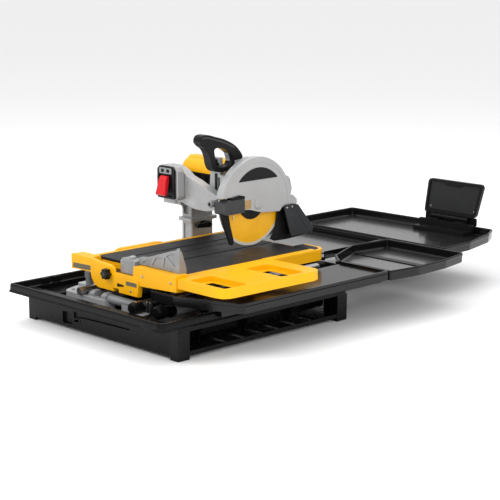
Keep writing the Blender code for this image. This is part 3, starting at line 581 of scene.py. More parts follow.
def build_side_shelf():
    """The slotted carrying shelf low on the right, and the ribs that tie it to the tub."""
    outer = LEG_X - 2
    wave = [(outer, 44), (outer - 1, 70), (outer - 3, 110), (outer, 150), (outer, 590), (outer, 637),
            (160, 637), (160, 6), (outer, 6)]
    slots = [prism("Z", oblong(248, 308, y, y + 25, 3, 2), 5, 30) for y in (170 + 66 * i for i in range(6))]
    slab("side_shelf", "Z", wave, 14, 19, BLACK, "base", edge=1, cuts=slots)
    lip = [(outer - 2.5, 10.5), (outer - 0.2, 10.5), (outer, 18), (outer - 0.4, 23), (outer - 2.5, 23)]
    slab("side_shelf_lip", "Y", lip, 41, LEG_REAR - 41, BLACK, "base", edge=0.8)
    piece("shelf_end_wall", [box(TUB_X - 2, LEG_X - 20, LEG_REAR - 8, LEG_REAR - 4, 14.5, 78)], BLACK,
          "base", edge=0.6)
    for i, y in enumerate((130, 300, 470)):
        rib = [(TUB_X, 16), (TUB_X + 12, 19), (TUB_X + 30, 60), (LEG_X - 14, 76), (TUB_X, 76)]
        for side, sign in (("left", -1), ("right", 1)):
            outline = [(sign * x, z) for x, z in rib]
            slab(f"{side}_rib_{i}", "Y", outline, y, y + 4, BLACK, "base", edge=0.6)


def build_rim_lugs():
    """Small lugs on the pan's rim that hold the trays."""
    for i, y in enumerate((44, 84)):
        piece(f"rim_lug_{i}", [box(-RIM_X + 9, -RIM_X + 19, y, y + 26, 93, 111)], BLACK, "base", edge=1.5)
    slab("corner_lug", "Z", [(250, RIM_FRONT + 0.4), (289, RIM_FRONT + 0.6), (306, RIM_FRONT + 6),
         (302, RIM_FRONT + 12), (250, RIM_FRONT + 8)], 90, 107.5, BLACK, "base", edge=1.2)


# ---------------------------------------------------------------- trays

def tray(name, outline, radii, node, z_low=TRAY_BOTTOM, z_high=TRAY_TOP, joins=(), cuts=()):
    """A shallow moulded tray: beaded outer wall, rolled lip, and a floor with a coved edge."""
    profile = [(6, z_low), (3.2, z_low + 0.8), (2.4, z_low + 3), (1.6, z_high - 9), (0.2, z_high - 8),
               (0, z_high - 6), (0.2, z_high - 2.4), (1.4, z_high - 0.5), (3, z_high), (5, z_high - 0.3),
               (6.2, z_high - 1.8), (6.8, z_high - 5), (8, z_low + 8), (10, z_low + 4.8), (14, z_low + 4),
               (24, z_low + 4)]
    loops = [level(ring_at(outline, radii, depth, 5), z) for depth, z in profile]
    made = piece(name, [loft(loops)], TRAY_BLACK, "base", replaces=(node,), joins=joins, cuts=cuts,
                 smooth=50)
    # The floor's upward faces take a lighter, coated copy of the plastic: painted sheen with real gloss.
    return paint_floor_sheen(made, TRAY_FLOOR_PAINTED_SHEEN)


def floor_ribs(name, lines, z, body="base", paint=None):
    """Low rounded ribs along a floor, each from one point to another."""
    for i, (start, stop, width, height) in enumerate(lines):
        a, b = Vector(start), Vector(stop)
        side = Vector((-(b - a).y, (b - a).x)).normalized() * width / 2
        ends = [a + side, b + side, b - side, a - side]
        slab(f"{name}_{i}", "Z", [(p.x, p.y) for p in ends], z - 0.5, z + height, paint or TRAY_BLACK, body,
             edge=min(1.2, height * 0.45))


def build_side_tray():
    """The long tray on the right, with its clipped front corner and the hook over the rim."""
    outline = [(150, 56), (240, 56), (424, 118), (432, 130), (432, 690), (252, 690), (252, 72), (150, 64)]
    edge = rounded(outline, [2, 10, 14, 10, 6, 6, 2, 2], 4)
    inner = rounded([(240, 66), (254, 66), (419, 123), (426, 133), (426, 684), (240, 684)],
                    [2, 8, 12, 8, 8, 2], 4)
    slab("side_tray_shell", "Z", edge, TRAY_BOTTOM + 2, TRAY_TOP, TRAY_BLACK, "base",
         replaces=("side_tray",), edge=1.4, segments=3,
         cuts=[prism("Z", inner, TRAY_BOTTOM + 6, TRAY_TOP + 5)],
         joins=[box(318, 340, 135, 680, 112.4, TRAY_BOTTOM + 3), box(RIM_X + 0.4, 340, 135, 680, 98, 114)])
    piece("side_tray_bead",
          [loft([level(inset(edge, d), z) for d, z in ((3, 142), (0, 142.6), (0, 144.6), (3, 145.2))])],
          TRAY_BLACK, "base", smooth=60)
    floor_ribs("side_tray_rib", [((300, 640), (424, 640), 5, 3), ((300, 610), (424, 610), 5, 3),
               ((268, 200), (268, 676), 4, 2)], TRAY_BOTTOM + 6)


def build_wing_tray():
    """The slanted tray at the rear right, with the ribs across its floor."""
    outline = [(240, 690.3), (437, 690.3), (452, 800), (446, 930), (425, 1040), (126, 1040), (111, 893),
               (180, 740)]
    tray("wing_tray_shell", outline, [8, 10, 60, 60, 16, 12, 30, 20], "wing_tray",
         joins=[box(323, RIM_X, 700, 788, 112.4, TRAY_BOTTOM + 2)])
    floor_ribs("wing_tray_rib", [((196, 748), (440, 748), 5, 4), ((176, 772), (443, 772), 4, 3),
               ((216, 718), (436, 718), 4, 3)], TRAY_BOTTOM + TRAY_SKIN)
    floor_ribs("wing_tray_band", [((130, 893), (436, 893), 26, 2.4)], TRAY_BOTTOM + TRAY_SKIN, paint=BLACK)


def build_rear_trays():
    """The two catch trays behind the pan: one hooked on it, one beyond."""
    near = quad(-RIM_X, 105, 780, 1052)
    edge = rounded(near, [2, 2, 8, 8], 4)
    inner = rounded(quad(-325, 99, 770, 1046), [1, 1, 8, 8], 4)
    made = slab("near_rear_tray_shell", "Z", edge, 122, 146, TRAY_BLACK, "base",
                replaces=("near_rear_tray",), edge=1.4, segments=3, cuts=[prism("Z", inner, 126.5, 160)],
                joins=[box(-300, 90, 793, 797, 112.4, 124)])
    # The floor's upward faces take a lighter, coated copy of the plastic: painted sheen with real gloss.
    paint_floor_sheen(made, TRAY_FLOOR_PAINTED_SHEEN)
    floor_ribs("near_rear_rib", [((-315, 822), (92, 822), 5, 2.5), ((-315, 1022), (92, 1022), 5, 2.5)],
               126.5)
    outline = [(-331, 1052.3), (338, 1052.3), (334, 1190), (300, 1330), (262, 1402), (-331, 1386)]
    tray("far_rear_tray_shell", outline, [10, 12, 60, 60, 24, 14], "far_rear_tray")
    floor_ribs("far_rear_rib", [((-312, 1080), (320, 1080), 6, 3), ((300, 1100), (270, 1310), 5, 2.5)],
               TRAY_BOTTOM + TRAY_SKIN)


# ---------------------------------------------------------------- deflector

def leaned(part):
    """A solid sheared to the deflector's slight backward lean."""
    corners, faces = part
    return [(x, y + LEAN * (z - FOLD[1]), z) for x, y, z in corners], faces


def build_deflector():
    """The folding spray panel: a dark frame around a lighter face, with a low stop behind it."""
    outline = rounded([(-8, 180), (-8, 196), (-2, 282), (6, 290), (213, 290), (221, 282), (202, 188),
                      (194, 180)], [4, 8, 8, 8, 8, 8, 8, 6], 4)
    step = rounded([(1, 190), (7, 281), (56, 281), (72, 273), (128, 273), (144, 281), (209, 281),
                   (193, 190)], 6, 4)
    piece("deflector_panel", [leaned(prism("Y", outline, 1384, 1396))], SOFT_BLACK, "spray_panel",
          replaces=("deflector",), edge=1.6, segments=3, cuts=[leaned(prism("Y", step, 1370, 1388.5))],
          joins=[box(61, 129, 1385, 1391, 166, 184), rod("X", FOLD, 6.5, 61, 129, 24),
          rod("X", FOLD, 3, 22, 168, 16)])
    piece("deflector_face", [leaned(prism("Y", inset(step, 0.6), 1387.6, 1389))], PANEL_GREY, "spray_panel",
          edge=0.3)
    stop = oblong(-12, 198, 152, 178, 4, 3)
    slab("deflector_back_stop", "Y", stop, 1395.6, 1400, SOFT_BLACK, "base", edge=1)
    for i, x in enumerate((8, 186)):
        y = 1388.5 + LEAN * (200 - FOLD[1])
        piece(f"deflector_screw_{i}", [rod("Y", (x + 6, 200), 3.2, y - 2.5, y + 1, 16)], STEEL,
              "spray_panel", edge=0.5)


# ---------------------------------------------------------------- head

def build_guard():
    """A cast half shell: flat on the right, drawn in on the left, open below the arbor."""
    y, z = GUARD
    shell = [(0.01, 98), (GUARD_R - 5, 98), (GUARD_R - 1.8, 97), (GUARD_R - 0.2, 94.5), (GUARD_R - 0.8, 84),
             (GUARD_R - 1.8, 72), (GUARD_R - 4, 69), (GUARD_R - 24, 64), (GUARD_R - 28, 60), (0.01, 58.2)]
    hollow = [(0.01, 95), (GUARD_R - 3.4, 95), (GUARD_R - 3.4, 70.6), (GUARD_R - 25, 66.5), (0.01, 61.2)]
    outside = [(330, 140), (330, 314), (437, 313), (472, 309), (520, 296), (592, 291), (604, 303),
               (700, 303), (700, 140)]
    lug = rounded([(618, 303.4), (666, 303.4), (666, 318), (650, 332), (618, 332)], 4, 3)
    piece("guard_shell", [lathe("X", (y, z), shell, 96)], SILVER, HEAD, replaces=("blade_guard",),
          smooth=35, edge=0.7, joins=[prism("X", lug, 61, 96)], cuts=[lathe("X", (y, z), hollow, 96),
          box(40, 120, 340, 447.3, 200, 352.3), prism("X", outside, 40, 120), rod("X", BLADE[1:], 20, 50,
          70), box(62, 94, 606, 660, 280, 327)])


def build_guard_trim():
    """The guard's raised band, plain panel, label plate, boss and rear ear."""
    y, z = GUARD
    outer = arc(y, z, GUARD_R - 13, -2, 165, 60)
    inner = arc(y, z, GUARD_R - 16.5, 165, -2, 60)
    slab("guard_band", "X", outer + inner, 97.4, 98.7, SILVER, HEAD, edge=0.4)
    panel = arc(505.5, 323.9, 103.6, 41, 139, 32)
    slab("guard_panel", "X", rounded(panel, 1.5, 1), 97.4, 98.8, SOFT_BLACK, HEAD, edge=0.4)
    label = oblong(449, 477, 312.5, 338, 3, 3)
    slab("guard_label", "X", label, 97.5, 98.5, TAN, HEAD, edge=0.3)
    dome("guard_boss", "X", (505, 322), 15, 97.8, 2.6, SILVER, HEAD, 40)
    ear = rounded([(628, 334), (647, 334), (651, 352), (643, 380), (632, 392), (626, 380)], 4, 3)
    slab("guard_ear", "X", ear, 74, 90, SILVER, HEAD, edge=1.4)
    bolts("guard_ear_bolt", "X", [(640, 343), (637, 372)], 4.2, 90, 2.4, HEAD, 20)


def build_handle():
    """A closed grip: a curved top bar, a front strut and a rear foot on the gear case."""
    outer = [(334, 507), (336, 519), (345, 526), (364, 526.5), (390, 519.5), (429, 508), (464, 491),
             (485, 473), (497, 456), (493, 447.6), (476, 447.2), (464.5, 440), (464, 422), (440, 418),
             (404, 418), (386, 425), (376, 442), (370, 466), (360, 484), (344, 496)]
    loop = [(388, 482), (404, 487), (430, 480), (449, 468), (457, 454), (456, 443), (449, 434), (430, 431),
            (406, 432), (395, 441), (391, 460)]
    slab("handle_grip", "X", smooth_loop(outer, 5), 13, 43, SOFT_BLACK, HEAD, replaces=("handle",),
         cuts=[prism("X", smooth_loop(loop, 5), 0, 60)], edge=6.5, segments=4)
    # A lighter grey band along the top bar's near face: a painted highlight.
    highlight_band = smooth_loop([(342, 520.5), (362, 520.5), (389, 513.5), (427, 502), (462, 486), (460, 482.5),
                       (425, 498), (388, 509.5), (362, 516.5), (342, 516.5)], 4)
    slab("handle_painted_highlight", "X", highlight_band, 42.4, 43.6, GREY, HEAD, slot="black_plastic", edge=0.4)
    strap = rounded([(458, 404), (464.8, 404), (462, 470), (452, 478), (448, 472), (456, 450)], 2, 3)
    slab("handle_strap", "X", strap, 14, 30, CLAMP_GREY, HEAD, edge=1.5)


def build_motor():
    """A painted cover with a rounded end over a dark motor, its fan vents and its lower band."""
    y, z = MOTOR
    cover = [(38.2, 2.6), (41.6, 2.6), (43, 0), (43, -170), (42, -180), (38, -187), (31, -191.5),
             (29, -191.5), (29, -188.5), (35, -184), (38.2, -177)]
    piece("motor_cover", [lathe("X", MOTOR, cover, 64)], YELLOW_PAINT, HEAD, replaces=("motor_housing",),
          smooth=30)
    cap = [(0.01, -176.5), (37.5, -176.5), (33, -184.5), (27.5, -189), (0.01, -190)]
    vents = [box(-196, -179, y - 21 + abs(k) * 4, y + 21 - abs(k) * 4, z + 8 * k - 2,
             z + 8 * k + 2) for k in (-2, -1, 0, 1, 2)]
    piece("motor_vent_cap", [lathe("X", MOTOR, cap, 48)], BLACK, HEAD, replaces=("motor_end_cap",),
          cuts=vents, smooth=30)
    band = arc(y, z, 44.2, 177, 363, 36) + arc(y, z, 40, 363, 177, 36)
    slab("motor_band", "X", band, -164, 1, SOFT_BLACK, HEAD, edge=1)
    for i in range(4):
        x = -146 + 34 * i
        rib = arc(y, z, 45.6, 180, 360, 32) + arc(y, z, 43, 360, 180, 32)
        slab(f"motor_rib_{i}", "X", rib, x, x + 4, SOFT_BLACK, HEAD, edge=0.5)
    ridge = rounded([(y - 20, z + 37), (y + 20, z + 37), (y + 14, z + 45.5), (y - 14, z + 45.5)], 4, 4)
    slab("motor_cover_ridge", "X", ridge, -178, -6, YELLOW_PAINT, HEAD, edge=2)


def build_arm():
    """The cast arm: a deep web with a rounded top edge, a pivot boss and a foot on the column."""
    x, z = ARM_PIVOT
    outline = [(-226, 326), (-150, 321), (-104, 309), (-60, 299), (-8, 299), (30, 309)]
    outline += arc(x, z, 16.5, -60, 60, 8)
    outline += [(26, 350), (-17, 365), (-59, 381), (-93, 391), (-112, 404), (-145, 417), (-186, 417),
                (-214, 404), (-226, 380)]
    web = [(-98, 330), (-60, 318), (-14, 318), (4, 331), (-20, 354), (-62, 370), (-98, 380)]
    slab("arm_body", "Y", outline, 405, 435, ALUMINIUM, "base", replaces=("arm_casting",), edge=4.5,
         segments=4, cuts=[prism("Y", rounded(web, 8, 4), 400, 407.2), rod("Y", (x, z), 7.3, 400, 440)],
         joins=[box(-226, -150, 430, 583, 297, 322), box(-225, -170, 428, 446, 300, 400)])
    dome("arm_pivot_bolt", "Y", (x, z), 11, 405, -4, STEEL, "base", 6)
    bolts("arm_bolt", "Y", [(-104, 336), (-104, 396)], 4, 405, -2.2, "base", 20)


def build_switch():
    """A cast box with a dark face: two sockets above a deep well that holds the stop paddle."""
    case = rounded([(-188, 322), (-108, 322), (-104, 334), (-104, 404), (-114, 421), (-176, 421),
                   (-188, 410)], [5, 6, 8, 10, 12, 10, 8], 4)
    slab("switch_case", "Y", case, 378.2, 404.8, SILVER, "base", replaces=("switch_box",), edge=2.5,
         segments=3)
    face = rounded([(-186, 324), (-112, 324), (-112, 408), (-122, 419), (-176, 419), (-186, 409)],
                   [6, 5, 6, 8, 8, 6], 4)
    well = oblong(-178, -120, 331, 394.5, 3, 3)
    slab("switch_face", "Y", face, 371.5, 378, SOFT_BLACK, "base", replaces=("switch_cover",), edge=1.4,
         segments=3, cuts=[prism("Y", well, 360, 377)])
    plate = oblong(-174, -122, 397, 414, 4, 3)
    sockets = [prism("Y", oblong(c - 7, c + 7, 400, 410.5, 3, 3), 360, 370.4) for c in (-160, -137)]
    slab("socket_plate", "Y", plate, 369, 373, CLAMP_GREY, "base", slot="grey_plastic", edge=0.8,
         cuts=sockets)
    for i, c in enumerate((-160, -137)):
        lining = oblong(c - 6.6, c + 6.6, 400.4, 410.1, 2.8, 3)
        slab(f"socket_{i}", "Y", lining, 370.1, 371.4, BLACK, "base", edge=0.3)
    lever = rounded([(374.5, 391), (367, 390), (361, 380), (355, 352), (351, 338), (354, 333.5), (361, 336),
                    (366, 352), (374.5, 380)], 3, 3)
    taper = [prism("Y", [(-180, 396), (-180, 330), (-173, 330), (-166, 396)], 340, 380),
             prism("Y", [(-124, 396), (-124, 330), (-131, 330), (-138, 396)], 340, 380)]
    slab("red_paddle", "X", lever, -174, -130, RED, "paddle", replaces=("stop_paddle",), edge=2.2,
         segments=3, cuts=taper)
    for i in range(3):
        piece(f"paddle_rib_{i}", [rod("X", (355 + 2.45 * i, 346 + 11 * i), 1.7, -164, -140, 12)], RED,
              "paddle")


def build_column():
    """A cast post that flares into its foot and its head, with ribs and a dark recess."""
    foot = [[(x, y, z) for x, y in oblong(x0, x1, y0, y1, 6, 3)] for x0, x1, y0, y1,
            z in ((-227, -146, 470, 600, 105.4), (-227, -146, 470, 600, 113), (-226, -156, 478, 594, 120),
            (-224, -172, 492, 586, 150), (-223, -176, 497, 583, 186), (-223, -176, 497, 583, 270),
            (-225, -164, 492, 583, 284), (-226, -156, 488, 583, 296.4))]
    recess = rounded([(-214, 256), (-190, 256), (-186, 284), (-214, 284)], 3, 2)
    lower = oblong(-213, -188, 150, 226, 4, 3)
    piece("column_post", [loft(foot)], ALUMINIUM, "base", replaces=("column",), edge=2, segments=3,
          smooth=30, cuts=[prism("Y", recess, 480, 506), prism("Y", lower, 480, 500.5)],
          joins=[prism("Z", oblong(-226.4, -166, 486, 592, 6, 3), 236, 246),
          prism("X", [(462, 106), (500, 106), (500, 214), (494, 214)], -204, -197)])
    bolts("column_bolt", "Z", [(-216, 480), (-158, 480), (-158, 591)], 6, 113, 4.5, "base", 6)


def build_nozzles():
    """The water nozzle block that clips over the guard's front, with its tap and its wiper."""
    block = rounded([(370, 305), (446.6, 305), (446.6, 347), (384, 347), (370, 337)], [6, 3, 8, 8, 5], 4)
    slab("nozzle_cover", "X", block, 60, 104, GREY, HEAD, replaces=("nozzle_block",), edge=2.5, segments=3,
         cuts=[box(65, 97, 384, 460, 280, 352.6)], joins=[rod("Y", TAP, 6, 392, 402, 20),
         box(44, 62, 394, 400, 322, 342)])
    dome("tap_centre", "Y", TAP, 5, 362.2, -1.6, BLACK, "water_valve", 24)
    cap = rounded([(390, 345), (446, 345), (446, 352), (430, 356), (396, 352)], 2.5, 3)
    slab("nozzle_lever", "X", cap, 84, 105.5, BLACK, HEAD, edge=1.2)
    rim = lobed(TAP, 9, 1, 8, 64)
    slab("tap_knob", "Y", rim, 362, 391, CLAMP_GREY, "water_valve", replaces=("water_knob",), edge=1,
         smooth=50)
    wiper = rounded([(371, 306), (398, 306), (406, 270), (420, 222), (414, 212), (404, 216), (384, 262)], 4,
                    3)
    slab("wiper_blade", "X", wiper, 82, 88, BLACK_RUBBER, HEAD, replaces=("front_wiper",), edge=1.2)


def build_flap():
    """The rear splash flap: a folded outer flap with two rivets and a black inner skirt behind the blade."""
    outer = rounded([(650, 306), (664, 303), (730, 227), (724, 213), (714, 210), (656, 280)],
                    [3, 5, 6, 5, 5, 4], 4)
    inside = [(643, 290), (658, 292), (720, 222), (690, 190), (643, 240)]
    slab("splash_flap", "X", outer, 50, 104, FLAP_RUBBER, HEAD, replaces=("rear_flap",), edge=1.4,
         cuts=[prism("X", inside, 54, 100)])
    side = rounded([(606, 300), (612, 307), (648, 307), (718, 222), (712, 212), (640, 210), (634, 216)],
                   [3, 4, 6, 6, 5, 5, 4], 4)
    slab("flap_side", "X", side, 98.4, 103.4, FLAP_RUBBER, HEAD, edge=1.2)
    bolts("flap_rivet", "X", [(617, 298), (638, 299)], 3.6, 103.2, 2, HEAD, 20)
    skirt = rounded([(600, 296), (640, 300), (712, 226), (706, 203), (640, 199.5), (588, 201), (570, 209),
                    (592, 238)], [4, 4, 8, 8, 6, 6, 3, 10], 4)
    slab("inner_skirt", "X", skirt, 78, 82, BLACK_RUBBER, HEAD, edge=1)


def build_upright():
    """Trim on the bevelling bracket: the slot's dark back and the lock knob with its pale centre."""
    piece("upright_slot", [box(-9, 1, 435.6, 437.2, 346, 406)], SOFT_BLACK, "bevel_head", edge=0.3)
    lobes = lobed(LOCK_KNOB, 15, 1.6, 5, 60)
    slab("lock_knob_grip", "Y", lobes, 416, 436.6, SOFT_BLACK, "plunge_knob",
         replaces=("plunge_lock_knob",), edge=2, segments=3, smooth=50)
    dome("lock_knob_centre", "Y", LOCK_KNOB, 6.5, 416.2, -1.8, SILVER, "plunge_knob", 28)


# ---------------------------------------------------------------- cart, fence and frame

def build_extension():
    """The side extension: a rimmed moulding with two deep recesses, each with a window, and fine ribs."""
    outline = [(244.3, 66), (390, 66), (412, 72), (423, 92), (429, 390), (423, 410), (406, 419),
               (244.3, 419)]
    edge = rounded(outline, [2, 10, 14, 12, 12, 12, 10, 2], 4)
    cuts = [box(252, 404, 86, 398, 160, 180.5)]
    for y0, y1 in ((78, 156), (282, 364)):
        cuts.append(prism("Z", rounded([(276, y0), (413, y0), (415, y1), (276, y1)], 8, 4), 183, 200))
        cuts.append(prism("Z", oblong(294, 403, y0 + 8, y1 - 10, 5, 3), 165, 190))
    slab("side_extension", "Z", edge, 170, MAT_TOP, YELLOW, "cart", replaces=("extension_table",), edge=2.2,
         segments=3, cuts=cuts)
    for i in range(4):
        y = 178 + 24 * i
        slab(f"extension_rib_{i}", "Z", oblong(266, 412, y, y + 3, 1, 2), MAT_TOP - 1, MAT_TOP + 1, YELLOW,
             "cart", edge=0.7)
    corner = [(158, 590.6), (244.5, 590.6), (246, 606), (238, 624), (218, 637), (158, 637)]
    lip = rounded(corner, [1, 1, 10, 12, 12, 2], 4)
    slab("cart_rear_lip", "Z", lip, 186, MAT_TOP + 0.8, YELLOW, "cart", edge=1.6, segments=3)
    patch = rounded([(158.6, 588), (234, 588), (236, 604), (229, 617), (213, 626), (158.6, 626)],
                    [1, 1, 8, 9, 9, 2], 4)
    slab("mat_rear_corner", "Z", patch, MAT_TOP - 1, MAT_TOP + 1.6, MAT, "cart", edge=0.5)
    piece("cart_right_lip", [box(221, 245, 398, 592, 188, MAT_TOP + 2)], YELLOW, "cart", edge=1.6,
          segments=3)


def build_fence():
    """The protractor quadrant, proud of the fence's face, with its label plates and clamping knob."""
    quadrant = [(-76, 195), (-88, 179), (-91.5, 162), (-88, 146), (-77, 131), (-60, 123), (-10, 122),
                (-10, 132), (14, 132), (14, 122), (92, 122), (96, 153), (96, 165), (74, 172), (0, 174),
                (0, 189), (-25, 192)]
    slab("quadrant", "Y", rounded(quadrant, [5, 12, 14, 14, 14, 8, 1, 1, 1, 1, 6, 2, 4, 3, 2, 3, 4], 4),
         58.4, 62.4, YELLOW, "cart", edge=1.2, segments=3)
    piece("fence_seat", [box(-117, 68, 76, 104, 171.2, 172.8)], SOFT_BLACK, "cart", edge=0.4)
    label = rounded([(-190, 161), (-112, 163), (-112, 177), (-190, 175)], 2, 2)
    slab("fence_label", "Y", label, 61.2, 62.3, LABEL_GREY, "cart", edge=0.3)
    small = oblong(46, 90, 148, 159, 1.5, 2)
    slab("quadrant_label", "Y", small, 57.6, 58.7, LABEL_GREY, "cart", edge=0.3)
    slab("quadrant_pointer", "Y", [(8, 138), (36, 142), (36, 146), (8, 148)], 57.7, 58.8, SOFT_BLACK,
         "cart", edge=0.3)
    dome("quadrant_bolt", "Y", (66, 134), 3.4, 58.4, -1.8, STEEL, "cart", 20)
    bolts("fence_bolt", "Y", [(110, 182), (224, 182)], 3.6, 62, -1.8, "cart", 20)
    lobes = lobed(CLAMP_KNOB, 14, 1.8, 6, 72)
    slab("clamp_knob", "Y", lobes, 42, 57.8, SOFT_BLACK, "protractor", replaces=("protractor_knob",),
         edge=2, segments=3, smooth=50, joins=[rod("Y", CLAMP_KNOB, 6, 56, 61.7, 24)])
    dome("clamp_knob_centre", "Y", CLAMP_KNOB, 5, 42.2, -1.5, GREY, "protractor", 24, slot="black_plastic")


def build_edge_guide():
    """A cast clamp and a webbed arm that widens to the plate the tile rests against."""
    block = rounded([(3, 174), (64, 174), (64, 212), (56, 216), (10, 216), (3, 208)], 3, 3)
    slab("clamp_block", "Y", block, 75, 103, CLAMP_GREY, "edge_guide", replaces=("guide_clamp",), edge=2.2,
         segments=3, cuts=[box(12, 54, 70, 76.6, 182, 206)])
    outline = [(66.4, 205), (90, 205), (222, 204.5), (222, 260), (200, 260), (92, 226), (66.4, 223)]
    webs = [rounded([(78, 210), (110, 210), (124, 228), (94, 220)], 2, 2),
            rounded([(118, 210), (156, 210), (160, 239), (134, 231)], 2, 2),
            rounded([(164, 210), (214, 210), (170, 240)], 2, 2),
            rounded([(214, 216), (214, 254), (200, 253), (176, 243)], 2, 2)]
    slab("guide_web", "Y", outline, 88, 104, CLAMP_GREY, "edge_guide", replaces=("guide_arm",), edge=1,
         cuts=[prism("Y", web, 84, 90.5) for web in webs],
         joins=[prism("Y", rounded([(206, 204.5), (229, 198), (229, 256), (225, 272), (219, 265),
         (206, 258)], 2, 3), 87, 94),
         prism("X", rounded([(88, 205), (114, 197.5), (114, 214), (100, 256), (88, 262)], 2, 3), 223, 228)])
    rim = lobed(GUIDE_SCREW, 7.6, 0.7, 10, 60)
    slab("guide_thumbscrew", "Z", rim, 216.3, 223, ALUMINIUM, "guide_screw", replaces=("guide_knob",),
         edge=1, smooth=50)


def build_frame_front():
    """The rails' front fittings, the rounded left casting and the black covers at the rear."""
    hub = [(0.01, 20), (11, 20), (16, 22), (18, 27), (18, 52), (16, 57), (11.3, 58), (11.3, 40), (0.01, 40)]
    piece("right_rail_hub", [lathe("Y", (110, 100), [(r * 0.92, y) for r, y in hub], 40)], BLACK, "base",
          smooth=35)
    plate = oblong(84, 140, 16, 62, 8, 4)
    slab("right_rail_plate", "Z", plate, 81.5, 86, ALUMINIUM, "base", edge=1.2)
    knob = [(0.01, 34), (13, 34), (18, 38), (18.5, 56), (16, 62), (13, 68), (13, 83.6), (0.01, 83.6)]
    piece("side_tube_knob", [lathe("Y", (195, 100.5), knob, 36)], BLACK, "base", smooth=35)
    for i, x in enumerate((123, 136)):
        slab(f"rail_lever_{i}", "X", rounded([(60, 84), (70, 84), (72, 116), (62, 116)], 3, 3), x, x + 3.5,
             STEEL, "base", edge=0.6)
    foot = rounded([(-206, 41), (-30, 41), (-30, 82), (-60.8, 96), (-146, 104), (-146, 612), (-228, 612),
                   (-228, 96)], [26, 10, 8, 8, 10, 8, 8, 26], 6)
    deck = rounded([(-224, 100), (-148, 106), (-148, 610), (-224, 610)], 8, 4)
    pads = [box(-222, -160, y, y + 46, 31.4, 64) for y in (44, 560)]
    slab("left_frame_casting", "Z", foot, 61.4, 95, ALUMINIUM, "base", replaces=("left_casting",), edge=3,
         segments=3, smooth=35, joins=[prism("Z", deck, 90, 104.8)] + pads,
         cuts=[prism("Z", oblong(-214, -160, 124, 400, 8, 3), 74, 112), rod("X", (68, 95), 13.4, -58, 0,
         32)])
    for i, x in enumerate((-96, -44)):
        saddle = rounded([(48, 88), (88, 88), (86, 104), (76, 110.5), (60, 110.5), (50, 104)], 3, 3)
        slab(f"cross_tube_saddle_{i}", "X", saddle, x - 9, x + 9, CLAMP_GREY, "base", edge=1.6, segments=3)
    post = [(0.01, 93), (15, 93), (15, 99), (10.5, 103), (10.5, 128), (13, 130), (13, 146), (0.01, 146)]
    piece("front_post", [lathe("Z", (-166, 99.5), post, 32)], CLAMP_GREY, "base", smooth=35)
    bolts("casting_bolt", "Z", [(-196, 64), (-116, 58), (-68, 54)], 5, 95, 4, "base", 6)
    for i, x in enumerate((LEFT_RAIL_X, RIGHT_RAIL_X)):
        cover = [(0.01, 768), (11, 767), (13.6, 764), (13.6, 742), (11.4, 740), (0.01, 740)]
        piece(f"rail_end_cover_{i}", [lathe("Y", (x, RAIL_Z), cover, 32)], BLACK, "base", smooth=35)


# ---------------------------------------------------------------- carried-over nodes

DRESSED = {"drain_plug": (BLACK_RUBBER, 0.6), "front_cross_tube": (CLAMP_GREY, 1.2),
           "rear_cross_tube": (GREY, 1.2), "left_rail": (STEEL, 1), "right_rail": (STEEL, 1),
           "side_tube": (ALUMINIUM, 1), "side_tube_cap": (BLACK, 1.5), "front_foot": (ALUMINIUM, 2),
           "rear_foot": (ALUMINIUM, 2), "water_pump": (BLACK, 2), "bevel_lock_lever": (BLACK, 1.6),
           "bevel_bracket": (ALUMINIUM, 2.5), "bevel_pin": (STEEL, 0.8), "plunge_pin": (STEEL, 0.8),
           "gear_case": (ALUMINIUM, 2), "motor_stator": (COPPER, 0.8), "motor_rotor": (STEEL, 0.3),
           "arbor": (STEEL, 0.3), "arbor_bearing": (STEEL, 0.5), "inner_flange": (STEEL, 0.6),
           "blade": (BLADE_FACE, 0), "outer_flange": (SOFT_BLACK, 1), "arbor_nut": (STEEL, 0.6),
           "left_nozzle": (BRASS, 0.3), "right_nozzle": (BRASS, 0.3), "cart_frame": (YELLOW, 1.2),
           "left_mat": (MAT, 0.8), "right_mat": (MAT, 0.8), "front_left_roller": (GREY, 1.5),
           "front_right_roller": (GREY, 1.5), "rear_left_roller": (GREY, 1.5), "rear_right_roller": (GREY,
           1.5), "fence": (YELLOW, 2.2), "deflector_bracket": (SOFT_BLACK, 1.5),}


def dress_nodes():
    """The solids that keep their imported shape."""
    for node, (paint, edge) in DRESSED.items():
        dress(node, paint, edge)


# ---------------------------------------------------------------- floor, light and camera

def make_stage():
    """A wide pale floor."""
    floor_mesh = bpy.data.meshes.new("floor")
    side = 30.0
    floor_mesh.from_pydata([(-side, -side, 0), (side, -side, 0), (side, side, 0), (-side, side, 0)], [],
                           [(0, 1, 2, 3)])
    floor = bpy.data.objects.new("floor", floor_mesh)
    bpy.context.scene.collection.objects.link(floor)
    pale = bpy.data.materials.new("pale_floor")
    pale.use_nodes = True
    pale.node_tree.nodes["Principled BSDF"].inputs["Base Color"].default_value = (0.93, 0.93, 0.93, 1.0)
    pale.node_tree.nodes["Principled BSDF"].inputs["Roughness"].default_value = 0.9
    floor_mesh.materials.append(pale)


def soft_light(name, place, target, size, power, mirrored=False):
    """A rectangular lamp aimed at a point; glossy surfaces see it only when asked."""
    lamp = bpy.data.lights.new(name, "AREA")
    lamp.shape = "RECTANGLE"
    lamp.size, lamp.size_y = size
    lamp.energy = power
    made = bpy.data.objects.new(name, lamp)
    made.location = place
    made.visible_glossy = mirrored
    made.rotation_euler = (Vector(target) - Vector(place)).to_track_quat("-Z", "Y").to_euler()
    bpy.context.scene.collection.objects.link(made)


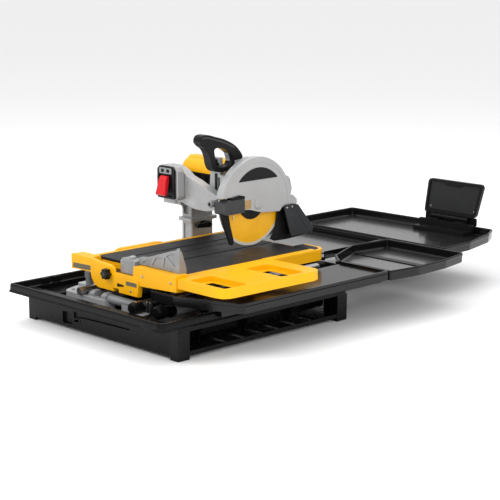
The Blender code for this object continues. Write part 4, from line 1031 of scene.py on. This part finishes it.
def make_world():
    """A white backdrop for the eye, and a soft box that is brightest overhead for the light."""
    world = bpy.data.worlds.new("studio")
    world.use_nodes = True
    tree = world.node_tree
    back = tree.nodes["Background"]
    where = tree.nodes.new("ShaderNodeTexCoord").outputs["Generated"]
    split = tree.nodes.new("ShaderNodeSeparateXYZ")
    tree.links.new(where, split.inputs[0])
    rise = tree.nodes.new("ShaderNodeMapRange")
    tree.links.new(split.outputs["Z"], rise.inputs["Value"])
    rise.inputs["From Min"].default_value = 0.0
    rise.inputs["From Max"].default_value = 0.9
    rise.inputs["To Min"].default_value = 0.62
    rise.inputs["To Max"].default_value = 1.05
    seen = tree.nodes.new("ShaderNodeLightPath").outputs["Is Camera Ray"]
    pick = tree.nodes.new("ShaderNodeMix")
    tree.links.new(seen, pick.inputs[0])
    tree.links.new(rise.outputs["Result"], pick.inputs[2])
    pick.inputs[3].default_value = 1.0
    tree.links.new(pick.outputs[0], back.inputs["Strength"])
    back.inputs["Color"].default_value = (1.0, 1.0, 1.0, 1.0)
    bpy.context.scene.world = world


def make_light():
    """Three soft lamps around a bright studio."""
    soft_light("key", (-1.4, -3.2, 3.0), (0.0, -0.2, 0.2), (2.0, 2.0), 85.0)
    soft_light("fill", (3.6, -1.8, 1.5), (0.0, 0.0, 0.25), (2.6, 1.8), 62.0)
    soft_light("top", (-0.4, 1.0, 3.6), (0.0, 0.0, 0.1), (3.0, 3.0), 45.0, mirrored=True)
    make_world()
    bpy.context.scene.view_settings.view_transform = "Standard"


def make_camera():
    """The viewing angle of a catalogue picture: from the front right, a little above the table."""
    azimuth, elevation = math.radians(CAMERA_AZIMUTH), math.radians(CAMERA_ELEVATION)
    view = bpy.data.cameras.new("camera")
    view.lens = CAMERA_LENS
    view.sensor_width = 36.0
    view.clip_end = 100.0
    camera = bpy.data.objects.new("camera", view)
    camera.location = at(*CAMERA_PLACE)
    way = Vector((-math.sin(azimuth) * math.cos(elevation), math.cos(azimuth) * math.cos(elevation),
                 -math.sin(elevation)))
    camera.rotation_euler = way.to_track_quat("-Z", "Y").to_euler()
    bpy.context.scene.collection.objects.link(camera)
    bpy.context.scene.camera = camera


# ---------------------------------------------------------------- the whole picture

build_pan()
build_pan_apron()
build_legs()
build_side_shelf()
build_rim_lugs()
build_side_tray()
build_wing_tray()
build_rear_trays()
build_deflector()
build_guard()
build_guard_trim()
build_handle()
build_motor()
build_arm()
build_switch()
build_column()
build_nozzles()
build_flap()
build_upright()
build_extension()
build_fence()
build_edge_guide()
build_frame_front()
dress_nodes()
make_stage()
make_light()
make_camera()
